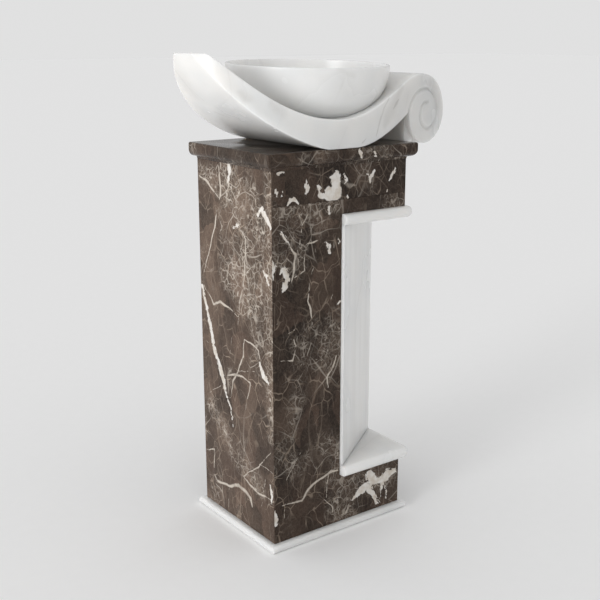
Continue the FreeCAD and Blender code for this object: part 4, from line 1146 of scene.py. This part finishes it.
# %% Rubber, plastic and primer
def moulded(name, colour, second, rough, scale, depth, specular):
    material, tree, shader, place = new_material(name)
    mottle = noise(tree, place, scale, 4.0, 0.6)
    tree.links.new(mix(tree, threshold(tree, mottle, 0.3, 0.7), colour, second), shader.inputs["Base Color"])
    tree.links.new(scaled(tree, mottle, 0.2, rough), shader.inputs["Roughness"])
    shader.inputs["Specular IOR Level"].default_value = specular
    tree.links.new(bump(tree, mottle, depth), shader.inputs["Normal"])
    return material


rubber = moulded("seal_rubber", (0.012, 0.012, 0.013, 1), grey(0.022), 0.55, 900.0, 0.00003, 0.3)
plastic = moulded("trap_plastic", (0.72, 0.72, 0.70, 1), (0.66, 0.66, 0.64, 1), 0.28, 260.0, 0.00002, 0.45)
primer = moulded("carcass_paint", (0.16, 0.165, 0.17, 1), (0.12, 0.125, 0.13, 1), 0.42, 520.0, 0.00005, 0.4)
print("other finishes:", [finish.name for finish in (rubber, plastic, primer)])

# %% [markdown]
# Four metal pieces can be seen: the waste and its plug in the bowl, the pipe that leaves at the back, and the
# cover over the service opening. Their forms are right, so only their edges are eased.

# %% Dress the metal that shows
shown_metal = (("waste_body", "plated", chrome, "chrome_plate", "pedestal"),
               ("outlet_pipe", "plated", chrome, "chrome_plate", "pedestal"),
               ("plug_cap", "plated", chrome, "chrome_plate", "plug"),
               ("service_cover", "brushed", brushed, "cover_steel", "pedestal"))
for node, word, finish, slot, body in shown_metal:
    eased_piece(node, f"{node}_{word}", finish, FINE_ARRIS, body)
print("metal pieces that show:", len(shown_metal))

# %% [markdown]
# The collar round the outlet pipe is a pressed rosette: flat at the rim, then domed up to a short neck that
# hugs the pipe. Like the bowl it is round, so it is turned too, but about the line of the pipe.

# %% Rosette
COLLAR_BORE = 0.0162
PRESSED = 0.0009
FLAT_RIM = 0.0015
NECK = 0.0025
DOME_STEPS = 12
DOME_POWER = 1.3
ROSETTE_STEPS = 96
collar_low, collar_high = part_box("pipe_collar")
collar_radius = (collar_high[0] - collar_low[0]) / 2
collar_middle = ((collar_low[0] + collar_high[0]) / 2, (collar_low[2] + collar_high[2]) / 2)
dome_start = collar_low[1] + PRESSED
dome = [(collar_radius, collar_low[1]), (collar_radius, dome_start)]
for step in range(1, DOME_STEPS + 1):
    t = math.pi / 2 * step / DOME_STEPS
    r = collar_radius - FLAT_RIM - (collar_radius - COLLAR_BORE - FLAT_RIM - NECK) * step / DOME_STEPS
    dome.append((r, dome_start + (collar_high[1] - dome_start) * math.sin(t) ** DOME_POWER))
dome += [(COLLAR_BORE, collar_high[1]), (COLLAR_BORE, collar_low[1])]
rosette = turned_mesh("pipe_collar_plated", lambda turn: dome, collar_middle, ROSETTE_STEPS, upright=False)
add_piece("pipe_collar_plated", rosette, chrome, "pipe_collar")
print("rosette faces:", len(rosette.polygons))

# %% [markdown]
# The four screws of the cover have pan heads with a cross recess. One is turned and cut with two crossed
# blades at each corner of the cover, and the four are joined, because they are one node of the frame.

# %% Screws of the cover
HEAD_RADIUS = 0.004
SHANK_RADIUS = 0.002
CROSS_WIDTH = 0.0018
CROSS_LENGTH = 0.0048
CROSS_HEIGHT = 0.0024
PAN_STEPS = 8
PAN_POWER = 0.6
PAN_FLANK_SHARE = 0.35
SCREW_STEPS = 32
screw_low, screw_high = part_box("cover_screws")
cover_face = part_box("service_cover")[1][1]
head_high = screw_high[1] - cover_face
pan = [(0.0, screw_low[1]), (SHANK_RADIUS, screw_low[1] + SHANK_RADIUS), (SHANK_RADIUS, cover_face),
       (HEAD_RADIUS, cover_face)]
for step in range(PAN_STEPS + 1):
    t = math.pi / 2 * step / PAN_STEPS
    rise = PAN_FLANK_SHARE + (1 - PAN_FLANK_SHARE) * math.sin(t)
    pan.append((HEAD_RADIUS * math.cos(t) ** PAN_POWER, cover_face + head_high * rise))
blade_sizes = ((CROSS_LENGTH, CROSS_HEIGHT, CROSS_WIDTH), (CROSS_WIDTH, CROSS_HEIGHT, CROSS_LENGTH))
screws = bmesh.new()
for x in (screw_low[0] + HEAD_RADIUS, screw_high[0] - HEAD_RADIUS):
    for z in (screw_low[2] + HEAD_RADIUS, screw_high[2] - HEAD_RADIUS):
        head = turned_mesh("screw", lambda turn: pan, (x, z), SCREW_STEPS, upright=False)
        blades = [("blade", box_mesh("blade", (x, screw_high[1], z), size), "DIFFERENCE")
                  for size in blade_sizes]
        screws.from_mesh(carve(head, blades))
screw_mesh = mesh_from(screws, "cover_screws_pan")
add_piece("cover_screws_pan", screw_mesh, zinc, "cover_screws")
print("screw faces:", len(screw_mesh.polygons))

# %% [markdown]
# What is inside the column never shows, but the model can be taken apart, so each hidden node keeps its own
# mesh and gets a finish from the table below.

# %% Dress the hidden pieces
hidden = (
    (primer, ("frame_posts", "frame_bottom_ring", "frame_top_ring", "niche_battens")),
    (zinc, ("cap_studs", "cap_nuts", "basin_dowels", "plug_spring")),
    (chrome, ("tail_tube", "tail_nut")),
    (brass, ("back_nut", "plug_stem", "click_cartridge")),
    (rubber, ("waste_seal", "lower_gasket", "plug_seal", "tail_washer", "trap_inlet_washer", "trap_seal",
              "outlet_washer")),
    (plastic, ("trap_inlet_nut", "trap_body", "trap_cup", "outlet_nut", "stem_bush")),
)
for finish, names in hidden:
    for name in names:
        nodes[name].data.materials.clear()
        nodes[name].data.materials.append(finish)
print("hidden pieces:", sum(len(names) for finish, names in hidden))

# %% [markdown]
# The object stands on a wide sheet of white paper. It reaches so far that its edge is lost in the distance.

# %% Floor
FLOOR_HALF = 40.0
floor_mesh = bpy.data.meshes.new("floor")
corners = [(x * FLOOR_HALF, y * FLOOR_HALF, 0) for x, y in ((-1, -1), (1, -1), (1, 1), (-1, 1))]
floor_mesh.from_pydata(corners, [], [(0, 1, 2, 3)])
floor = new_object("floor", floor_mesh)
paper, tree, shader, place = new_material("floor_paper")
weave = noise(tree, place, 40.0, 3.0)
tree.links.new(mix(tree, weave, grey(0.93), grey(0.95)), shader.inputs["Base Color"])
shader.inputs["Roughness"].default_value = 0.9
shader.inputs["Specular IOR Level"].default_value = 0.0
floor_mesh.materials.append(paper)
print("floor:", 2 * FLOOR_HALF, "m across")

# %% [markdown]
# The light is a soft sky that is brighter on the left and overhead, a very broad lamp low on the left, and a
# round soft box under it that points up at the basin. They and the white floor fill the undersides, as a
# light tent does. The soft box is narrowed, so that it throws no patch on the floor. The sky that the camera
# sees is the grey that the floor comes to, so no line shows where they meet.

# %% Sky
SKY_LIGHT = 0.59
SKY_LEAN = 0.28
SKY_CROWN = 0.36
SKY_SEEN = 0.750
world = bpy.data.worlds.new("studio")
bpy.context.scene.world = world
world.use_nodes = True
sky = world.node_tree
way = add_node(sky, "TexCoord").outputs["Generated"]
lean = vector_calc(sky, "DOT_PRODUCT", way, (-SKY_LEAN, 0.0, SKY_CROWN))
level = times(sky, calc(sky, "ADD", lean, 1.0), SKY_LIGHT)
seen = add_node(sky, "LightPath").outputs["Is Camera Ray"]
level = add_node(sky, "MapRange", {"Value": seen, "To Min": level, "To Max": SKY_SEEN}).outputs["Result"]
sky.nodes["Background"].inputs["Color"].default_value = (1, 1, 1, 1)
sky.links.new(level, sky.nodes["Background"].inputs["Strength"])
bpy.context.scene.view_settings.view_transform = "Standard"
print("sky steps:", len(sky.nodes))

# %% Lamp and soft box
LAMP_LIGHT = 1.35
LAMP_SPREAD = math.radians(22)
LAMP_FROM = Vector((-0.96, -0.19, 0.17))
FILL_PLACE = Vector((-1.25, -0.28, 0.36))
FILL_AIM = Vector((-0.15, -0.02, 0.88))
FILL_SIZE = 0.6
FILL_LIGHT = 0.34
FILL_SPREAD = math.radians(56)


def add_lamp(name, kind, energy, from_way):
    """A lamp that shines from the given way towards the middle."""
    lamp = bpy.data.lights.new(name, kind)
    lamp.energy = energy
    holder = new_object(name, lamp)
    holder.rotation_euler = from_way.to_track_quat("Z", "Y").to_euler()
    return lamp, holder


lamp, lamp_object = add_lamp("soft_lamp", "SUN", LAMP_LIGHT, LAMP_FROM)
lamp.angle = LAMP_SPREAD
fill, fill_object = add_lamp("low_fill", "AREA", FILL_LIGHT, FILL_PLACE - FILL_AIM)
fill.shape = "DISK"
fill.size = FILL_SIZE
fill.spread = FILL_SPREAD
fill_object.location = FILL_PLACE
fill_object.visible_camera = False
print("lamps:", lamp_object.name, fill_object.name)
